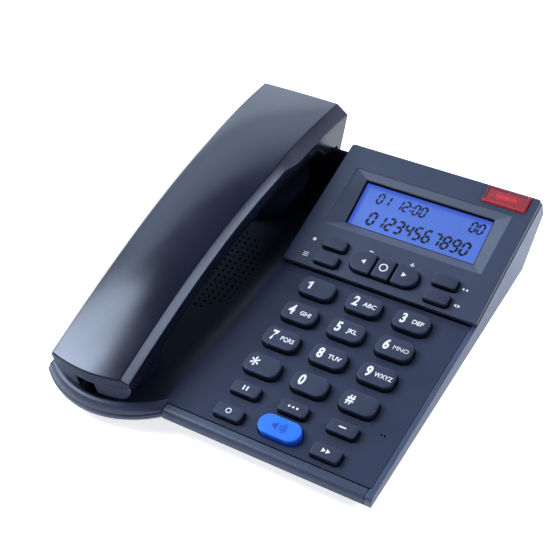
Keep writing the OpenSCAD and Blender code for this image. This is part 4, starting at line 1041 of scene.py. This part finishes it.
def upper_half(s, d, left):
    """One side of the upper shell's sections: up the wall, over the bevel, along the crown to the middle."""
    half, slant, deep, back, crown, parting, _ = handset_lines(s, left)
    half, back = half - d, back - d
    flat = half - slant
    edge = [np.stack(p, -1) for p in ((half, parting), (half, back - deep), (flat, back),
                                      (flat * 0.8, back + crown * 0.36))]
    side = np.concatenate([[edge[0]], bend(*edge[:3]), bend(*edge[1:])])
    share = np.linspace(0.96, 0, 20)[:, None]
    over_top = np.stack([share * flat, back + crown * (1 - share ** 2)], -1)
    section = np.concatenate([side, over_top]).transpose(1, 0, 2)
    return section[..., 0], section[..., 1], section[..., 0] / half[:, None], parting[:, None]


def upper_back():
    """Upper shell's outer face from its two sides, with the ends drawn in round, and its flat underside."""
    s, d = handset_stations()
    right, left = upper_half(s, d, False), upper_half(s, d, True)
    x = np.concatenate([right[0], -left[0][:, -2::-1]], 1)
    w = np.concatenate([right[1], left[1][:, -2::-1]], 1)
    along = nose(s[:, None], np.concatenate([right[2], left[2][:, -2::-1]], 1))
    return on_handset(x, along, w), on_handset(x, along, right[3] + 0 * x)


def lower_belly():
    """Lower shell's outer face: a squarish half round under the parting line, a hair wider at the right.

    Across and down go as powers of a turn's cosine and sine, which make the ear end's corners crisp.
    That end leans in below, in step with the depth, and goes lower behind the trough's rear wall.
    """
    s, d = (line[:, None] for line in handset_stations(behind_wall - 0.05, behind_wall + 0.05))
    half, _, _, _, _, parting, under = handset_lines(s)
    half_left = handset_lines(s, True)[0]
    ear_end = soft_step((s - 0.84) / 0.08)
    square, crisp = 5 + 3 * (1 - soft_step((s - 0.05) / 0.2)) + 55 * ear_end, 2 + 28 * ear_end
    turn = np.linspace(0, pi, 81)
    q = np.sign(np.cos(turn)) * np.abs(np.cos(turn)) ** (2 / square)
    edge = parting - 0.6
    drop = 3 * (s * handset_len > behind_wall)
    depth = (edge - under + drop - d) * np.abs(np.sin(turn)) ** (2 / crisp)
    ledge = 0.35 * (1 - at_ear(s))
    x = q * (np.where(q > 0, half + ledge, half_left) - d)
    along = nose(s, q)
    lean = 0.85 * depth * np.clip((s - 0.93) / 0.07, 0, 1)
    return on_handset(x, along, parting - 0.15 + 0 * x), on_handset(x, along - lean, edge - depth)


handset_navy = paint(20, 24, 41)
handset_plastic = moulded("handset_plastic", handset_navy, 0.24, grain=0.25, depth=0.003, reflect=0.6)
# the etched end's lighter colour is painted light; its duller gloss is the etched finish
handset_etched_lit = moulded("handset_etched_lit", paint(49, 56, 78), 0.6, grain=0.2, depth=0.01, reflect=0.15)

# how far in from the mouth end the etched finish with its painted light goes, and how far down
end_depth, cup_top = 8, -15.5


def etched_lit_end(mesh):
    """Gives the faces that look out of the mouth end, above its cup, the duller finish of an etched tool, in
    a lighter colour that is painted light.
    """
    mesh.materials.append(handset_etched_lit)
    normals, centres = np.empty((2, len(mesh.polygons) * 3), np.float32)
    mesh.polygons.foreach_get("normal", normals)
    mesh.polygons.foreach_get("center", centres)
    start = on_handset(0, 0, 0)
    along, up = on_handset(0, 1 / MM, 0) - start, on_handset(0, 0, 1 / MM) - start
    centres = centres.reshape(-1, 3) - start
    at_end = (centres @ along < end_depth * MM) & (centres @ up > cup_top * MM)
    outward = normals.reshape(-1, 3) @ along < -0.8
    mesh.polygons.foreach_set("material_index", (at_end & outward).astype(np.int32))


shell = grids("handset_back", *skin(*upper_back()))
show(shell, "handset", "handset_navy", handset_plastic, "handset_upper_shell", sharp=24)
etched_lit_end(shell)


def cup(name, v, radius, rise):
    """Round cup turned about its axis: a shallow dish underneath, a rounded lip and a straight side."""
    turn, lip = np.linspace(0, pi / 2, 6), 1.6
    r = np.r_[radius - 6, radius - 2.4, radius - lip + lip * np.sin(turn), radius, 0.2]
    n = np.r_[1.3, 0.42, 0.3 + lip * (1 - np.cos(turn)), rise, rise]
    around = np.linspace(0, 2 * pi, 72, endpoint=False)
    rings = on_trough(trough_x + r[:, None] * np.cos(around), v + r[:, None] * np.sin(around), n[:, None])
    return capped(name, rings)


def block(name, place, x0, x1, v0, v1, n0, n1):
    """Plain cutter between two corners of a frame."""
    x, v = np.meshgrid([x0, x1], [v0, v1])
    return grids(name, *skin(place(x, v, n1), place(x, v, n0)))


def carved(mesh, joined, cut):
    """Joins solids to a mesh and cuts others away by exact Booleans; gives the finished mesh."""
    body = bpy.data.objects.new(mesh.name, mesh)
    tools = [bpy.data.objects.new(tool.name, tool) for tool in (*joined, *cut)]
    for item in (body, *tools):
        bpy.context.collection.objects.link(item)
    for k, tool in enumerate(tools):
        step = body.modifiers.new(tool.name, "BOOLEAN")
        step.operation = "UNION" if k < len(joined) else "DIFFERENCE"
        step.solver, step.object = "EXACT", tool
    result = bpy.data.meshes.new_from_object(body.evaluated_get(bpy.context.evaluated_depsgraph_get()))
    for item in (body, *tools):
        bpy.data.objects.remove(item)
    name = mesh.name
    bpy.data.meshes.remove(mesh)
    result.name = name
    return result


ear_v, ear_cup_h = 148.124, 14
mouth_v, mouth_r, mouth_cup_h = 15.6, 19, 9
notch_half, jack_half = 5.3, 6.6
jack_x, jack_v, jack_n = -1.5, 1.8, 8.2
jack_y, jack_z = on_trough(0, jack_v, jack_n)[1:] / MM
on_jack = tilted(jack_y, jack_z, 0)
notch = trough_x + jack_x
belly = carved(grids("handset_belly", *skin(*lower_belly())),
               [cup("ear_cup", ear_v, ear_r, ear_cup_h), cup("mouth_cup", mouth_v, mouth_r, mouth_cup_h)],
               [block("notch_cut", on_jack, notch - notch_half, notch + notch_half, -24, -0.1, -9, 3.1),
                block("jack_cut", on_jack, notch - jack_half, notch + jack_half, -0.2, 9.4, -3.8, 3.9)])
show(belly, "handset", "handset_navy", handset_plastic, "handset_lower_shell", sharp=24)
etched_lit_end(belly)


# The rest of the frame's own solids: sockets and plunger in black plastic, rubber feet and mats, green
# boards, and small steel parts. They keep their shape and get their finish here.
def metal(name, colour, roughness, brush):
    """Bare metal, drawn or turned: fine streaks along X break up its gloss."""
    material = bpy.data.materials.new(name)
    tree, shader, coords = nodes_of(material)
    stretch = add_node(tree, "Mapping", {"Vector": coords, "Scale": (200, brush, brush)}).outputs[0]
    streak = noise(tree, stretch, 1, 3)
    tree.links.new(ramp(tree, streak, 0, 1, roughness - 0.1, roughness + 0.1), shader.inputs["Roughness"])
    bumped(tree, shader, streak, 0.2, 0.01)
    shader.inputs["Base Color"].default_value = colour
    shader.inputs["Metallic"].default_value = 1
    return material


black_plastic = moulded("black_plastic", paint(16, 16, 19), 0.45, edge=0.3)
finish(black_plastic, "line_jack", "cord_jack", "handset_jack", "hook_plunger", "hook_switch")
foot_rubber = moulded("foot_rubber", paint(24, 24, 24), 0.8, grain=0.5, depth=0.03, edge=0.6, reflect=0.3)
finish(foot_rubber, "rubber_feet")
mat_rubber = moulded("mat_rubber", paint(82, 83, 86), 0.75, grain=0.4, depth=0.02, reflect=0.3)
finish(mat_rubber, "keypad_membrane", "function_membrane", "speaker_cone")
board_green = moulded("board_green", paint(22, 84, 46), 0.4, grain=0.8, depth=0.01)
finish(board_green, "main_board", "keypad_board", "function_board")
white_plastic = moulded("white_plastic", paint(222, 222, 220), 0.5, edge=0.3)
finish(white_plastic, "lcd_backlight", "lamp_led")
steel = metal("steel", (0.58, 0.58, 0.6, 1), 0.35, 9000)
finish(steel, "board_screws", "case_screws", "handset_screws", "hook_spring", "speaker_frame",
       "ballast_plate", "handset_weight", "base_microphone")
finish(metal("capsule_alloy", (0.5, 0.51, 0.53, 1), 0.45, 5000), "receiver_capsule", "microphone")
finish(metal("magnet_black", (0.06, 0.06, 0.065, 1), 0.6, 3000), "speaker_magnet")
